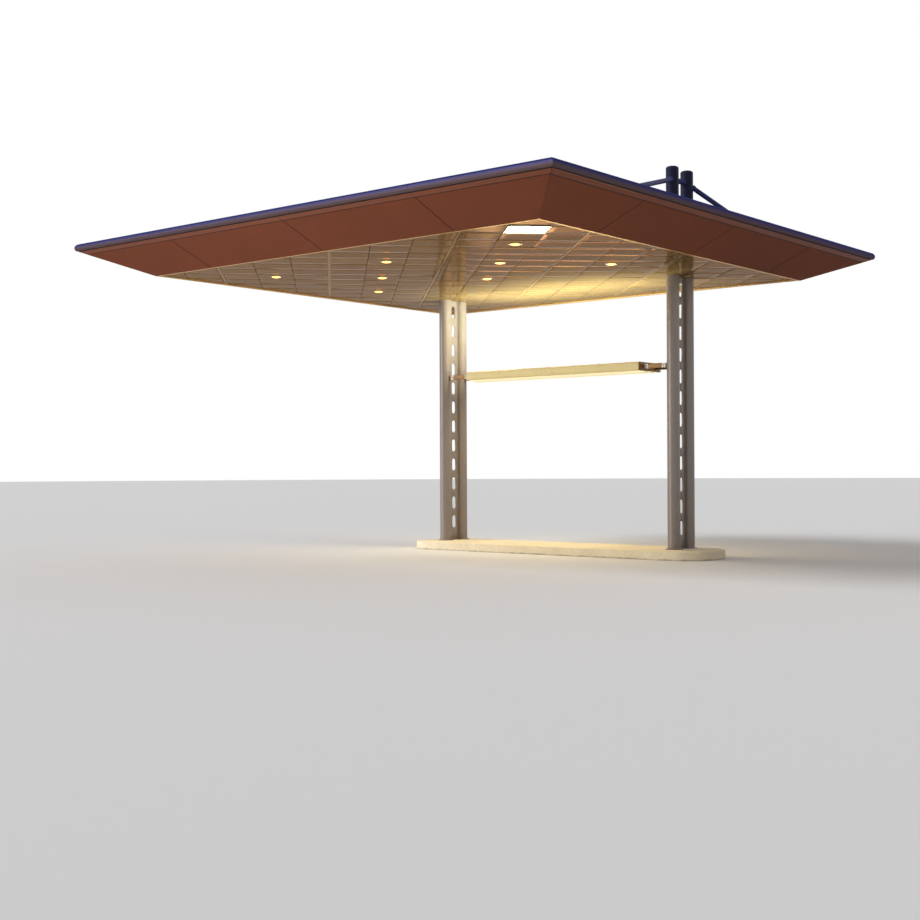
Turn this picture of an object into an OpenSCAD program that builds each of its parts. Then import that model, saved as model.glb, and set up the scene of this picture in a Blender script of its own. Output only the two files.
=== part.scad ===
// Filling station canopy: a square roof with sloping soffits, carried at its
// back half by two pairs of masts that rise through it and hold it by stays.
// X runs along the road, +Y points away from it and Z is up.
// The origin is on the ground, midway between the two pairs of masts.

/* [Roof] */
// Width of the roof over its nosing, along the road
roof_w = 9780; // [9000:10:10600]
// Depth of the roof over its nosing
roof_d = 9730; // [9000:10:10600]
// Distance from the line of masts forward to the middle of the roof
roof_forward = 2160; // [1600:10:2600]
// Height of the centre line of the round nosing
nosing_z = 5232; // [5100:2:5400]
// Diameter of the round nosing
nosing_d = 140; // [100:2:180]
// Width of the nosing's flange behind its round edge
nosing_flange = 50; // [30:1:80]
// Drop of the nosing's lower lip under its centre line
nosing_lip = 52; // [42:1:60]
// Height of the lowest edge of the soffits
soffit_low_z = 4785; // [4700:5:4850]
// Run of the left and right soffits from the outline to the ceiling
side_run = 909; // [700:1:1200]
// Run of the road side soffit from the outline to the ceiling
front_run = 967; // [700:1:1200]
// Run of the back soffit from the outline to the ceiling
back_run = 1053; // [700:1:1300]
// Thickness of the soffit panels and edge strips
soffit_t = 30; // [15:1:45]
// Width of the edge strip's flat part in plan, behind the round edge
strip_w = 70; // [50:1:120]
// Open joint between soffit panels
soffit_joint = 14; // [6:1:20]
// Open joint along each hip
hip_joint = 8; // [4:1:16]

/* [Ceiling] */
// Side of one square ceiling panel, laid at 45 degrees to the roof's edges
panel = 600; // [500:5:700]
// Height of the underside of the ceiling
ceiling_z = 4803; // [4795:1:4830]
// Thickness of the ceiling panels
ceiling_t = 25; // [15:1:35]
// Width of the joint between ceiling panels
panel_joint = 8; // [4:1:14]
// Depth of the joint between ceiling panels
panel_joint_depth = 8; // [4:1:12]
// Width of the runners between bays three panels wide
runner_w = 44; // [30:1:60]
// Height of the runners
runner_h = 75; // [50:1:100]
// Shift of the panel grid along the road
grid_shift_x = -74; // [-150:1:150]
// Shift of the panel grid away from the road, from the middle of the roof
grid_shift_y = 118; // [-150:1:250]
// Width of the ledge on each side of a runner
ledge_w = 20; // [10:1:40]
// Thickness of that ledge
ledge_t = 6; // [3:1:12]
// Width of the lip round the ceiling
lip_w = 50; // [30:1:80]
// Height of the lip round the ceiling
lip_h = 62; // [45:1:80]
// Joint between the bars of the lip
lip_joint = 2; // [1:0.5:5]
// Diameter of a downlight's rim
downlight_d = 190; // [140:5:240]
// Diameter of a downlight's lens
downlight_lens_d = 150; // [100:5:170]
// Drop of the luminaires' rims under the ceiling
rim_drop = 4; // [2:0.5:8]
// Wall of a downlight's housing
can_t = 5; // [3:0.5:8]
// Height of a downlight's housing over the ceiling's underside
can_h = 70; // [50:1:110]
// Clearance of the ceiling round that housing
can_clear = 3; // [1:0.5:6]
// Thickness of the luminaires' lenses
lens_t = 12; // [6:1:18]
// Recess of a downlight's lens
lens_recess = 14; // [8:1:24]
// Side of the square luminaire near the corner, without its frame
square_light = 520; // [400:5:540]
// Width of the square luminaire's frame
square_frame = 22; // [10:1:30]
// Height of that frame over the ceiling's underside
square_h = 56; // [40:1:70]

/* [Masts] */
// Distance between the axes of the two pairs of masts
mast_bay = 5080; // [4600:2:5600]
// Distance between the two tubes of a pair
tube_pitch = 485; // [420:5:600]
// Outside diameter of a mast tube
tube_d = 219.1; // [190:0.1:250]
// Height of the top of the masts
mast_top_z = 6665; // [6500:5:6900]
// Thickness of the web plate between two tubes
web_t = 15; // [8:1:25]
// Width of a slot in the web plate
slot_w = 100; // [60:5:140]
// Height of a slot in the web plate
slot_h = 240; // [160:5:300]
// Distance from one slot to the next
slot_pitch = 371.5; // [320:0.5:420]
// Height of the top of the lowest slot
slot_first_top = 619; // [560:1:680]
// Number of slots in a web plate
slot_count = 12; // [6:1:12]
// Height of the domed cap on a tube
cap_t = 40; // [20:1:60]
// Clearance of the ceiling round a mast
ceiling_clear = 6; // [2:1:15]
// Height of the collar that seals a mast to the roof deck
collar_h = 150; // [90:5:250]
// Width of the collar's skirt round a mast
collar_w = 60; // [30:1:90]
// Height of that skirt where the deck is highest beside it
collar_skirt = 30; // [15:1:60]
// Thickness of the collar at its top
collar_t = 6; // [3:1:12]

/* [Stays] */
// Outside diameter of a stay
stay_d = 82.5; // [60:0.5:110]
// Height at which the stays leave the masts
stay_top_z = 6450; // [6300:5:6500]
// Distance of the stays' feet from the roof's left and right edges
anchor_inset = 1146; // [1100:1:1400]
// Distance of the road side feet from the roof's front edge
front_anchor_inset = 2450; // [2200:5:2800]
// Distance of the back feet from the roof's back edge
rear_anchor_inset = 1405; // [1300:5:1700]
// Side of the square foot under a stay
shoe_side = 260; // [200:5:320]
// Thickness of that foot
shoe_t = 20; // [10:1:30]
// Diameter of the spacer between two tubes at the height of the stays
link_d = 90; // [60:1:120]

/* [Light bar] */
// Length of the light bar
bar_l = 3864; // [3400:2:4200]
// Depth of the light bar, across the line of masts
bar_d = 720; // [600:5:800]
// Height of the light bar
bar_h = 152; // [110:1:200]
// Height of the underside of the light bar
bar_z = 3216; // [3000:2:3400]
// Thickness of the light bar's long rails
rail_t = 45; // [25:1:70]
// Thickness of the light bar's end plates
bar_end_t = 12; // [6:1:20]
// Thickness of the light bar's diffusers
diffuser_t = 10; // [5:1:20]
// Recess of the diffusers behind the rails' edges
diffuser_recess = 12; // [4:1:25]
// Height of an arm between a mast and the light bar
arm_h = 80; // [50:1:110]
// Thickness of that arm
arm_t = 16; // [8:1:24]

/* [Roof structure] */
// Depth of the steel girders
girder_h = 330; // [280:2:335]
// Width of the girders' flanges
girder_w = 160; // [120:2:200]
// Thickness of the girders' flanges
girder_flange = 12; // [8:1:18]
// Thickness of the girders' webs
girder_web = 8; // [6:1:14]
// Thickness of the roof deck at the eaves
deck_t = 80; // [50:1:82]
// Rise of the roof deck from the eaves to its middle
deck_rise = 95; // [40:5:160]
// Spacing of the deck's standing seams
seam_pitch = 600; // [400:10:800]
// Height of a standing seam
seam_h = 30; // [15:1:45]
// Width of a standing seam
seam_w = 14; // [8:1:25]
// Distance from a seam's end to a collar or a stay's foot
seam_clear = 15; // [5:1:40]
// Distance from a seam's upper end to the hip
hip_clear = 30; // [15:1:60]

/* [Island] */
// Length of the concrete island under the masts
island_l = 6380; // [6000:10:7000]
// Width of the island
island_w = 1392; // [1200:2:1600]
// Height of the island
island_h = 145; // [110:5:180]
// Radius of the island's corners in plan
island_r = 580; // [300:10:650]
// Radius of the island's rounded upper edge
island_edge_r = 25; // [10:1:40]
// Shift of the island along the road
island_shift_x = 168; // [0:2:300]
// Shift of the island towards the road
island_shift_y = -216; // [-300:2:-100]

/* [Hidden] */
$fn = 64;
half_w = roof_w / 2;
half_d = roof_d / 2;
nose_r = nosing_d / 2;
soffit_high_z = nosing_z - nose_r;
ceiling_x = half_w - side_run;
ceiling_front = half_d - front_run;
ceiling_back = half_d - back_run;
bay_w = 3 * panel;
soffit_bay = 6 * panel / sqrt(2);
mast_x = mast_bay / 2;
tube_y = tube_pitch / 2;
tube_r = tube_d / 2;
girder_z = ceiling_z + runner_h;
deck_z = girder_z + girder_h;
deck_edge = nose_r + nosing_flange;
seam_root = 8;
deck_w = half_w - deck_edge;
deck_d = half_d - deck_edge;
anchor_x = half_w - anchor_inset;
front_anchor_y = roof_forward + half_d - front_anchor_inset;
rear_anchor_y = half_d - roof_forward - rear_anchor_inset;
edge_h = deck_z - soffit_low_z + girder_h;
flange_z = soffit_high_z + soffit_t;
square_reach = (square_light / 2 + square_frame) * sqrt(2) + lip_w;
square_cell = floor(min(ceiling_x - grid_shift_x, ceiling_front + grid_shift_y) * sqrt(2) / panel
                    - square_reach * sqrt(2) / panel);

// A rectangle with rounded corners, centred on the origin
module rounded_rect(w, d, r) {
    union() {
        square([w - 2 * r, d], center = true);
        square([w, d - 2 * r], center = true);
        for (sx = [-1, 1], sy = [-1, 1])
            translate([sx * (w / 2 - r), sy * (d / 2 - r)]) circle(r);
    }
}

// A section drawn in Y and Z, carried along +X
module along_x(l) {
    rotate([90, 0, 90]) linear_extrude(l) children();
}

// Everything on the roof is laid out from the roof's own middle
module on_roof() {
    translate([0, -roof_forward, 0]) children();
}

// The cast island, with a rounded upper edge and a socket for each tube
module island() {
    color("#b9b2a6")
    difference() {
        translate([island_shift_x, island_shift_y, 0])
        union() {
            linear_extrude(island_h - island_edge_r) rounded_rect(island_l, island_w, island_r);
            linear_extrude(island_h)
                rounded_rect(island_l - 2 * island_edge_r, island_w - 2 * island_edge_r,
                             island_r - island_edge_r);
            for (sx = [-1, 1], sy = [-1, 1])
                translate([sx * (island_l / 2 - island_r), sy * (island_w / 2 - island_r),
                           island_h - island_edge_r])
                    rotate_extrude($fn = 96)
                        translate([island_r - island_edge_r, 0]) circle(island_edge_r);
            for (sy = [-1, 1])
                translate([0, sy * (island_w / 2 - island_edge_r), island_h - island_edge_r])
                    rotate([0, 90, 0])
                        cylinder(r = island_edge_r, h = island_l - 2 * island_r, center = true);
            for (sx = [-1, 1])
                translate([sx * (island_l / 2 - island_edge_r), 0, island_h - island_edge_r])
                    rotate([90, 0, 0])
                        cylinder(r = island_edge_r, h = island_w - 2 * island_r, center = true);
        }
        for (sx = [-1, 1], sy = [-1, 1])
            translate([sx * mast_x, sy * tube_y, -1]) cylinder(r = tube_r, h = island_h + 2);
    }
}

// One mast tube, from the ground to its cap
module mast(sx, sy) {
    color("#b8b6b2")
    translate([sx * mast_x, sy * tube_y, 0]) cylinder(r = tube_r, h = mast_top_z - cap_t);
}

module slot_outline() {
    union() {
        square([slot_w, slot_h - slot_w], center = true);
        for (s = [-1, 1]) translate([0, s * (slot_h - slot_w) / 2]) circle(slot_w / 2);
    }
}

// The slotted plate that joins the two tubes of a pair up to the roof deck
module web_plate(sx) {
    color("#aeaca8")
    difference() {
        translate([sx * mast_x - web_t / 2, 0, 0])
        along_x(web_t)
        difference() {
            translate([-tube_y, island_h]) square([tube_pitch, deck_z - island_h]);
            for (i = [0:slot_count - 1])
                translate([0, slot_first_top - slot_h / 2 + i * slot_pitch]) slot_outline();
        }
        for (sy = [-1, 1])
            translate([sx * mast_x, sy * tube_y, 0]) cylinder(r = tube_r, h = mast_top_z);
    }
}

module mast_caps() {
    color("#8f9194")
    for (sx = [-1, 1], sy = [-1, 1])
        translate([sx * mast_x, sy * tube_y, mast_top_z - cap_t])
            rotate_extrude() union() {
                square([tube_r - cap_t, cap_t]);
                intersection() {
                    translate([tube_r - cap_t, 0]) circle(cap_t);
                    square([tube_r, cap_t]);
                }
            }
}

// Round spacers between the tubes at the height of the stays
module mast_links() {
    color("#8f9194")
    for (sx = [-1, 1])
        difference() {
            translate([sx * mast_x, 0, stay_top_z])
                rotate([90, 0, 0]) cylinder(d = link_d, h = tube_pitch, center = true);
            for (sy = [-1, 1])
                translate([sx * mast_x, sy * tube_y, 0]) cylinder(r = tube_r, h = mast_top_z);
        }
}

// Height of the deck's upper face on its left and right slopes
function deck_top(x) = deck_z + deck_t + deck_rise * (1 - abs(x) / deck_w);

// Flashing collars that taper up to the tubes
module mast_collars() {
    color("#8d9095")
    for (sx = [-1, 1], sy = [-1, 1])
        translate([sx * mast_x, sy * tube_y, 0])
        difference() {
            union() {
                translate([0, 0, deck_z + deck_t])
                    cylinder(r = tube_r + collar_w,
                             h = deck_top(mast_x + tube_r) - deck_z - deck_t + collar_skirt);
                translate([0, 0, deck_top(mast_x + tube_r) + collar_skirt])
                    cylinder(r1 = tube_r + collar_w, r2 = tube_r + collar_t, h = collar_h - collar_skirt);
            }
            translate([0, 0, deck_z]) cylinder(r = tube_r, h = mast_top_z - deck_z);
            translate([-sx * mast_x, -roof_forward, 0]) deck_body();
        }
}

// The solid of the roof deck, which rises from all four sides to its middle
module deck_body() {
    polyhedron(
        points = [[-deck_w, -deck_d, deck_z], [deck_w, -deck_d, deck_z],
                  [deck_w, deck_d, deck_z], [-deck_w, deck_d, deck_z],
                  [-deck_w, -deck_d, deck_z + deck_t], [deck_w, -deck_d, deck_z + deck_t],
                  [deck_w, deck_d, deck_z + deck_t], [-deck_w, deck_d, deck_z + deck_t],
                  [0, 0, deck_z + deck_t + deck_rise]],
        faces = [[0, 1, 2, 3], [0, 4, 5, 1], [1, 5, 6, 2], [2, 6, 7, 3], [3, 7, 4, 0],
                 [5, 4, 8], [6, 5, 8], [7, 6, 8], [4, 7, 8]]);
}

// A stay as a straight tube from a mast's axis to a little below its foot
module stay_rod(p, q, d) {
    v = q - p;
    l = norm(v);
    translate(p)
        rotate([0, acos(v.z / l), atan2(v.y, v.x)])
            cylinder(d = d, h = l + 2 * d);
}

function stay_start(sx, sy) = [sx * mast_x, sy * tube_y, stay_top_z];
function stay_end(sx, sy) = [sx * anchor_x, sy > 0 ? rear_anchor_y : -front_anchor_y,
                             deck_top(anchor_x - shoe_side / 2) + shoe_t];

module stay(sx, sy) {
    color("#4c5666")
    difference() {
        stay_rod(stay_start(sx, sy), stay_end(sx, sy), stay_d);
        translate([sx * mast_x, sy * tube_y, 0]) cylinder(r = tube_r, h = mast_top_z);
        e = stay_end(sx, sy);
        translate([e.x - 2 * shoe_side, e.y - 2 * shoe_side, e.z - 4 * shoe_side]) cube(4 * shoe_side);
    }
}

// Flat feet under the stays, bedded on the deck
module stay_shoes() {
    color("#6d747d")
    for (sx = [-1, 1], sy = [-1, 1]) {
        e = stay_end(sx, sy);
        difference() {
            translate([e.x - shoe_side / 2, e.y - shoe_side / 2, deck_z + deck_t / 2])
                cube([shoe_side, shoe_side, e.z - deck_z - deck_t / 2]);
            translate([0, -roof_forward, 0]) deck_body();
        }
    }
}

// A long rail of the light bar with a rounded outer face
module bar_rail(sy) {
    color("#d8d2c0")
    translate([-bar_l / 2 + bar_end_t, 0, 0])
    along_x(bar_l - 2 * bar_end_t)
        mirror([sy > 0 ? 1 : 0, 0])
        translate([-bar_d / 2, bar_z]) union() {
            translate([rail_t / 3, 0]) square([rail_t * 2 / 3, bar_h]);
            translate([0, rail_t / 3]) square([rail_t, bar_h - rail_t * 2 / 3]);
            for (z = [rail_t / 3, bar_h - rail_t / 3]) translate([rail_t / 3, z]) circle(rail_t / 3);
        }
}

module light_bar_ends() {
    color("#cfcac0")
    for (sx = [-1, 1])
        translate([sx * (bar_l / 2 - bar_end_t / 2), 0, bar_z + bar_h / 2])
            cube([bar_end_t, bar_d, bar_h], center = true);
}

module bar_diffuser(z) {
    color("#fff6cf")
    translate([-bar_l / 2 + bar_end_t, -bar_d / 2 + rail_t, z])
        cube([bar_l - 2 * bar_end_t, bar_d - 2 * rail_t, diffuser_t]);
}

// Two arms that carry one end of the light bar, one on each tube
module light_bracket(sx) {
    color("#a9a7a2")
    for (sy = [-1, 1])
        difference() {
            translate([sx > 0 ? bar_l / 2 : -mast_x, sy * tube_y - arm_t / 2, bar_z + bar_h / 2 - arm_h / 2])
                cube([mast_x - bar_l / 2, arm_t, arm_h]);
            translate([sx * mast_x, sy * tube_y, 0]) cylinder(r = tube_r, h = mast_top_z);
        }
}

// The ceiling's outline inside its lip
module ceiling_outline(inset) {
    translate([-ceiling_x + inset, -ceiling_front + inset])
        square([2 * ceiling_x - 2 * inset, ceiling_front + ceiling_back - 2 * inset]);
}

// Children are laid out on the diagonal grid, whose middle is a bay's middle
module on_grid() {
    translate([grid_shift_x, grid_shift_y]) rotate(45) children();
}

// Plan of the holes that the masts and web plates need in the ceiling
module mast_holes(clear) {
    translate([0, roof_forward])
    for (sx = [-1, 1]) {
        for (sy = [-1, 1]) translate([sx * mast_x, sy * tube_y]) circle(tube_r + clear);
        translate([sx * mast_x, 0]) square([web_t + 2 * clear, tube_pitch], center = true);
    }
}

// Downlights sit in the middle of a bay, at every third panel
light_cells = [[-2, 0], [-1, -1], [-1, 0], [-1, 1], [0, -2], [0, -1], [0, 0], [1, -1]];

module on_light(cell) {
    on_grid() translate([cell.x * bay_w, cell.y * bay_w]) children();
}

module at_square_light() {
    on_grid() translate([0, -square_cell * panel]) children();
}

module light_holes() {
    for (c = light_cells) on_light(c) circle(downlight_lens_d / 2 + can_t + can_clear);
    at_square_light() square(square_light + 2 * square_frame, center = true);
}

module bay_plan(i) {
    difference() {
        intersection() {
            ceiling_outline(lip_w + panel_joint);
            on_grid() translate([(i - 0.5) * bay_w + runner_w / 2 + panel_joint, -2 * half_w])
                square([bay_w - runner_w - 2 * panel_joint, 4 * half_w]);
        }
        mast_holes(ceiling_clear);
        light_holes();
    }
}

module joint_lines(i) {
    on_grid() {
        for (k = [-0.5, 0.5])
            translate([i * bay_w + k * panel - panel_joint / 2, -2 * half_w])
                square([panel_joint, 4 * half_w]);
        for (j = [-12:11])
            translate([(i - 0.5) * bay_w, (j + 0.5) * panel - panel_joint / 2])
                square([bay_w, panel_joint]);
    }
}

// One bay of the ceiling, three panels wide, with its joints cut in
module ceiling_bay(i) {
    color("#c3c2a8")
    on_roof()
    union() {
        translate([0, 0, ceiling_z + panel_joint_depth])
            linear_extrude(ceiling_t - panel_joint_depth) bay_plan(i);
        translate([0, 0, ceiling_z])
            linear_extrude(panel_joint_depth) difference() {
                bay_plan(i);
                joint_lines(i);
            }
    }
}

module runner_plan(w) {
    difference() {
        intersection() {
            ceiling_outline(lip_w);
            on_grid() for (i = [-3:2])
                translate([(i + 0.5) * bay_w - w / 2, -2 * half_w]) square([w, 4 * half_w]);
        }
        mast_holes(ceiling_clear);
    }
}

// Runners between the bays, with a ledge on which the panels hang
module ceiling_runners() {
    color("#8e8c80")
    on_roof() union() {
        translate([0, 0, ceiling_z]) linear_extrude(runner_h) runner_plan(runner_w);
        translate([0, 0, ceiling_z + ceiling_t]) linear_extrude(ledge_t)
            runner_plan(runner_w + 2 * panel_joint + 2 * ledge_w);
    }
}

// Four bars round the ceiling with a hairline joint at each corner
module ceiling_lip() {
    inner = ceiling_front + ceiling_back - 2 * lip_w - 2 * lip_joint;
    color("#a8a493")
    on_roof()
    translate([0, 0, soffit_low_z])
    linear_extrude(lip_h) {
        for (y = [-ceiling_front, ceiling_back - lip_w])
            translate([-ceiling_x, y]) square([2 * ceiling_x, lip_w]);
        for (x = [-ceiling_x, ceiling_x - lip_w])
            translate([x, -ceiling_front + lip_w + lip_joint]) square([lip_w, inner]);
    }
}

module downlight_rims() {
    color("#d9d6cf")
    on_roof()
    for (c = light_cells) translate([0, 0, ceiling_z]) on_light(c)
        difference() {
            union() {
                translate([0, 0, -rim_drop]) cylinder(d = downlight_d, h = rim_drop);
                cylinder(d = downlight_lens_d + 2 * can_t, h = can_h);
            }
            translate([0, 0, -2 * rim_drop]) cylinder(d = downlight_lens_d, h = can_h + 4 * rim_drop);
        }
}

module downlight_lenses() {
    color("#ffb35a")
    on_roof()
    for (c = light_cells) translate([0, 0, ceiling_z + lens_recess]) on_light(c)
        cylinder(d = downlight_lens_d, h = lens_t);
}

module corner_light_frame() {
    color("#d9d6cf")
    on_roof()
    translate([0, 0, ceiling_z - rim_drop])
    at_square_light()
    linear_extrude(square_h + rim_drop) difference() {
        square(square_light + 2 * square_frame, center = true);
        square(square_light, center = true);
    }
}

module corner_light_panel() {
    color("#fff6cf")
    on_roof()
    translate([0, 0, ceiling_z + rim_drop])
    at_square_light()
    linear_extrude(lens_t) square(square_light, center = true);
}

// Point on a soffit: k runs from 0 at the nosing to 1 at the ceiling
function soffit_z(k) = soffit_high_z + k * (soffit_low_z - soffit_high_z);
function run_at(run, k) = nose_r + k * (run - nose_r);

// One soffit panel between two lines across the slope, seen from its own side:
// the outline is at -dist and x0, x1 give the panel's ends as [at k0, at k1]
module tray(dist, run, k0, k1, x0, x1) {
    y0 = run_at(run, k0) - dist;
    y1 = run_at(run, k1) - dist;
    z0 = soffit_z(k0);
    z1 = soffit_z(k1);
    polyhedron(
        points = [[x0[0], y0, z0], [x1[0], y0, z0], [x1[1], y1, z1], [x0[1], y1, z1],
                  [x0[0], y0, z0 + soffit_t], [x1[0], y0, z0 + soffit_t],
                  [x1[1], y1, z1 + soffit_t], [x0[1], y1, z1 + soffit_t]],
        faces = [[0, 1, 2, 3], [7, 6, 5, 4], [0, 4, 5, 1], [1, 5, 6, 2], [2, 6, 7, 3], [3, 7, 4, 0]]);
}

// Half length of a side at k, from the side that it turns the corner to
function hip(half, run, k) = half - run_at(run, k) - hip_joint / 2;

// The four panels of one side; ends holds the run and half length at each end
module soffit_panels(dist, run, half, run_a, run_b) {
    k0 = (strip_w + soffit_joint) / (run - nose_r);
    j = soffit_joint / 2;
    m = soffit_bay;
    tray(dist, run, k0, 1, [-hip(half, run_a, k0), -hip(half, run_a, 1)], [-m - j, -m - j]);
    tray(dist, run, k0, 1, [-m + j, -m + j], [-j, -j]);
    tray(dist, run, k0, 1, [j, j], [m - j, m - j]);
    tray(dist, run, k0, 1, [m + j, m + j], [hip(half, run_b, k0), hip(half, run_b, 1)]);
}

module front_soffit() {
    color("#8a6242") on_roof() soffit_panels(half_d, front_run, half_w, side_run, side_run);
}

module back_soffit() {
    color("#8a6242") on_roof() rotate(180) soffit_panels(half_d, back_run, half_w, side_run, side_run);
}

module left_soffit() {
    color("#6d5643") on_roof() rotate(-90) soffit_panels(half_w, side_run, half_d, back_run, front_run);
}

module right_soffit() {
    color("#6d5643") on_roof() rotate(90) soffit_panels(half_w, side_run, half_d, front_run, back_run);
}

// The half circle of the roof's round edge, in Y and Z
module round_edge() {
    intersection() {
        translate([nose_r, nosing_z]) circle(nose_r);
        translate([0, nosing_z - nose_r]) square([nose_r, nosing_d]);
    }
}

// Section of a strip: the lower part of the round edge and a flat behind it
module strip_section(run) {
    k1 = strip_w / (run - nose_r);
    union() {
        intersection() {
            round_edge();
            translate([0, nosing_z - nose_r]) square([nose_r, nose_r - nosing_lip]);
        }
        polygon([[nose_r - 0.01, soffit_high_z], [nose_r + strip_w, soffit_z(k1)],
                 [nose_r + strip_w, soffit_z(k1) + soffit_t], [nose_r, soffit_high_z + soffit_t],
                 [nose_r, nosing_z - nosing_lip], [nose_r - 0.01, nosing_z - nosing_lip]]);
    }
}

// Plan of one side's strip, mitred along the hips
module strip_plan(dist, run, half, run_a, run_b) {
    k1 = 2 * strip_w / (run - nose_r);
    y0 = nose_r - dist;
    y1 = run_at(run, k1) - dist;
    polygon([[-half, -dist], [half, -dist], [half - nose_r, y0], [half - run_at(run_b, k1), y1],
             [-half + run_at(run_a, k1), y1], [-half + nose_r, y0]]);
}

module edge_strip(dist, run, half, run_a, run_b) {
    intersection() {
        translate([-half, -dist, 0]) along_x(2 * half) strip_section(run);
        translate([0, 0, soffit_low_z]) linear_extrude(edge_h)
            intersection() {
                translate([hip_joint / 2, 0]) strip_plan(dist, run, half, run_a, run_b);
                translate([-hip_joint / 2, 0]) strip_plan(dist, run, half, run_a, run_b);
            }
    }
}

module edge_strips() {
    color("#5a4436")
    on_roof() {
        edge_strip(half_d, front_run, half_w, side_run, side_run);
        rotate(180) edge_strip(half_d, back_run, half_w, side_run, side_run);
        rotate(-90) edge_strip(half_w, side_run, half_d, back_run, front_run);
        rotate(90) edge_strip(half_w, side_run, half_d, front_run, back_run);
    }
}

// Section of the nosing: the upper part of the round edge with a flange behind it
module nosing_section() {
    union() {
        intersection() {
            round_edge();
            translate([0, nosing_z - nosing_lip]) square([nose_r, nose_r + nosing_lip]);
        }
        translate([nose_r - 0.01, flange_z])
            square([nosing_flange + 0.01, nosing_z + nose_r - flange_z]);
    }
}

// One side's nosing, mitred at 45 degrees at both ends
module nosing(dist, half) {
    color("#4b5563")
    on_roof() intersection() {
        translate([-half, -dist, 0]) along_x(2 * half) nosing_section();
        translate([0, 0, soffit_low_z]) linear_extrude(edge_h)
            polygon([[-half, -dist], [half, -dist], [half - 2 * deck_edge, -dist + 2 * deck_edge],
                     [-half + 2 * deck_edge, -dist + 2 * deck_edge]]);
    }
}

module front_nosing() { nosing(half_d, half_w); }
module back_nosing() { on_roof() rotate(180) translate([0, roof_forward, 0]) nosing(half_d, half_w); }
module left_nosing() { on_roof() rotate(-90) translate([0, roof_forward, 0]) nosing(half_w, half_d); }
module right_nosing() { on_roof() rotate(90) translate([0, roof_forward, 0]) nosing(half_w, half_d); }

// Seams of one slope, that run up from its eaves to the hips
module slope_seams(reach, half) {
    tilt = atan(deck_rise / reach);
    count = floor((half - 100) / seam_pitch - 0.5);
    for (i = [-count - 1:count]) {
        y = (i + 0.5) * seam_pitch;
        start = abs(y) * reach / half + hip_clear;
        translate([0, y, deck_z + deck_t + deck_rise])
            rotate([0, tilt, 0])
                translate([start / cos(tilt), -seam_w / 2, -seam_root])
                    cube([(reach - start) / cos(tilt) - seam_root, seam_w, seam_h + seam_root]);
    }
}

// Standing seams of the deck, cut away round the collars and the stays' feet
module deck_seams() {
    difference() {
        for (a = [0:90:270]) rotate(a)
            slope_seams(a % 180 == 0 ? deck_w : deck_d, a % 180 == 0 ? deck_d : deck_w);
        translate([0, roof_forward, deck_z]) linear_extrude(mast_top_z - deck_z) {
            for (sx = [-1, 1], sy = [-1, 1]) {
                translate([sx * mast_x, sy * tube_y]) circle(tube_r + collar_w + seam_clear);
                translate([stay_end(sx, sy).x, stay_end(sx, sy).y])
                    square(shoe_side + 2 * seam_clear, center = true);
            }
        }
    }
}

// The metal deck with its standing seams
module roof_deck() {
    color("#70757c")
    difference() {
        on_roof() union() {
            deck_body();
            deck_seams();
        }
        for (sx = [-1, 1], sy = [-1, 1])
            translate([sx * mast_x, sy * tube_y, 0]) cylinder(r = tube_r, h = mast_top_z);
    }
}

module girder_section() {
    union() {
        translate([-girder_w / 2, 0]) square([girder_w, girder_flange]);
        translate([-girder_w / 2, girder_h - girder_flange]) square([girder_w, girder_flange]);
        translate([-girder_web / 2, 0]) square([girder_web, girder_h]);
    }
}

// A girder along X, centred on the origin
module girder_x(l) {
    translate([-l / 2, 0, girder_z]) along_x(l) girder_section();
}

// The girders under the anchors of the stays
module side_girders() {
    color("#7b2f2a")
    on_roof() for (sx = [-1, 1])
        translate([sx * anchor_x, (ceiling_back - ceiling_front) / 2, 0])
            rotate(90) girder_x(ceiling_front + ceiling_back - 2 * lip_w);
}

// Girders across the roof: two clasp the masts and one is under the front anchors
module cross_girders() {
    color("#7b2f2a")
    for (y = [tube_y + tube_r + girder_w / 2, -tube_y - tube_r - girder_w / 2, -front_anchor_y])
        translate([0, y, 0]) girder_x(2 * anchor_x - girder_w);
}

island();
mast(-1, -1);  // left_front_mast
mast(-1, 1);  // left_rear_mast
mast(1, -1);  // right_front_mast
mast(1, 1);  // right_rear_mast
web_plate(-1);  // left_web_plate
web_plate(1);  // right_web_plate
mast_caps();
mast_links();
mast_collars();
stay(-1, -1);  // left_front_stay
stay(1, -1);  // right_front_stay
stay(-1, 1);  // left_rear_stay
stay(1, 1);  // right_rear_stay
stay_shoes();
bar_rail(-1);  // light_bar_front_rail
bar_rail(1);  // light_bar_rear_rail
light_bar_ends();
bar_diffuser(bar_z + bar_h - diffuser_recess - diffuser_t);  // light_bar_upper_diffuser
bar_diffuser(bar_z + diffuser_recess);  // light_bar_lower_diffuser
light_bracket(-1);  // left_light_bracket
light_bracket(1);  // right_light_bracket
ceiling_bay(-3);  // ceiling_bay_1
ceiling_bay(-2);  // ceiling_bay_2
ceiling_bay(-1);  // ceiling_bay_3
ceiling_bay(0);  // ceiling_bay_4
ceiling_bay(1);  // ceiling_bay_5
ceiling_bay(2);  // ceiling_bay_6
ceiling_bay(3);  // ceiling_bay_7
ceiling_runners();
ceiling_lip();
downlight_rims();
downlight_lenses();
corner_light_frame();
corner_light_panel();
front_soffit();
back_soffit();
left_soffit();
right_soffit();
edge_strips();
front_nosing();
back_nosing();
left_nosing();
right_nosing();
roof_deck();
side_girders();
cross_girders();
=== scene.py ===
import math
import random
from collections import namedtuple

import bmesh
import bpy
from bpy.props import FloatProperty, FloatVectorProperty, IntProperty, PointerProperty
from mathutils import Matrix, Vector


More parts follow.
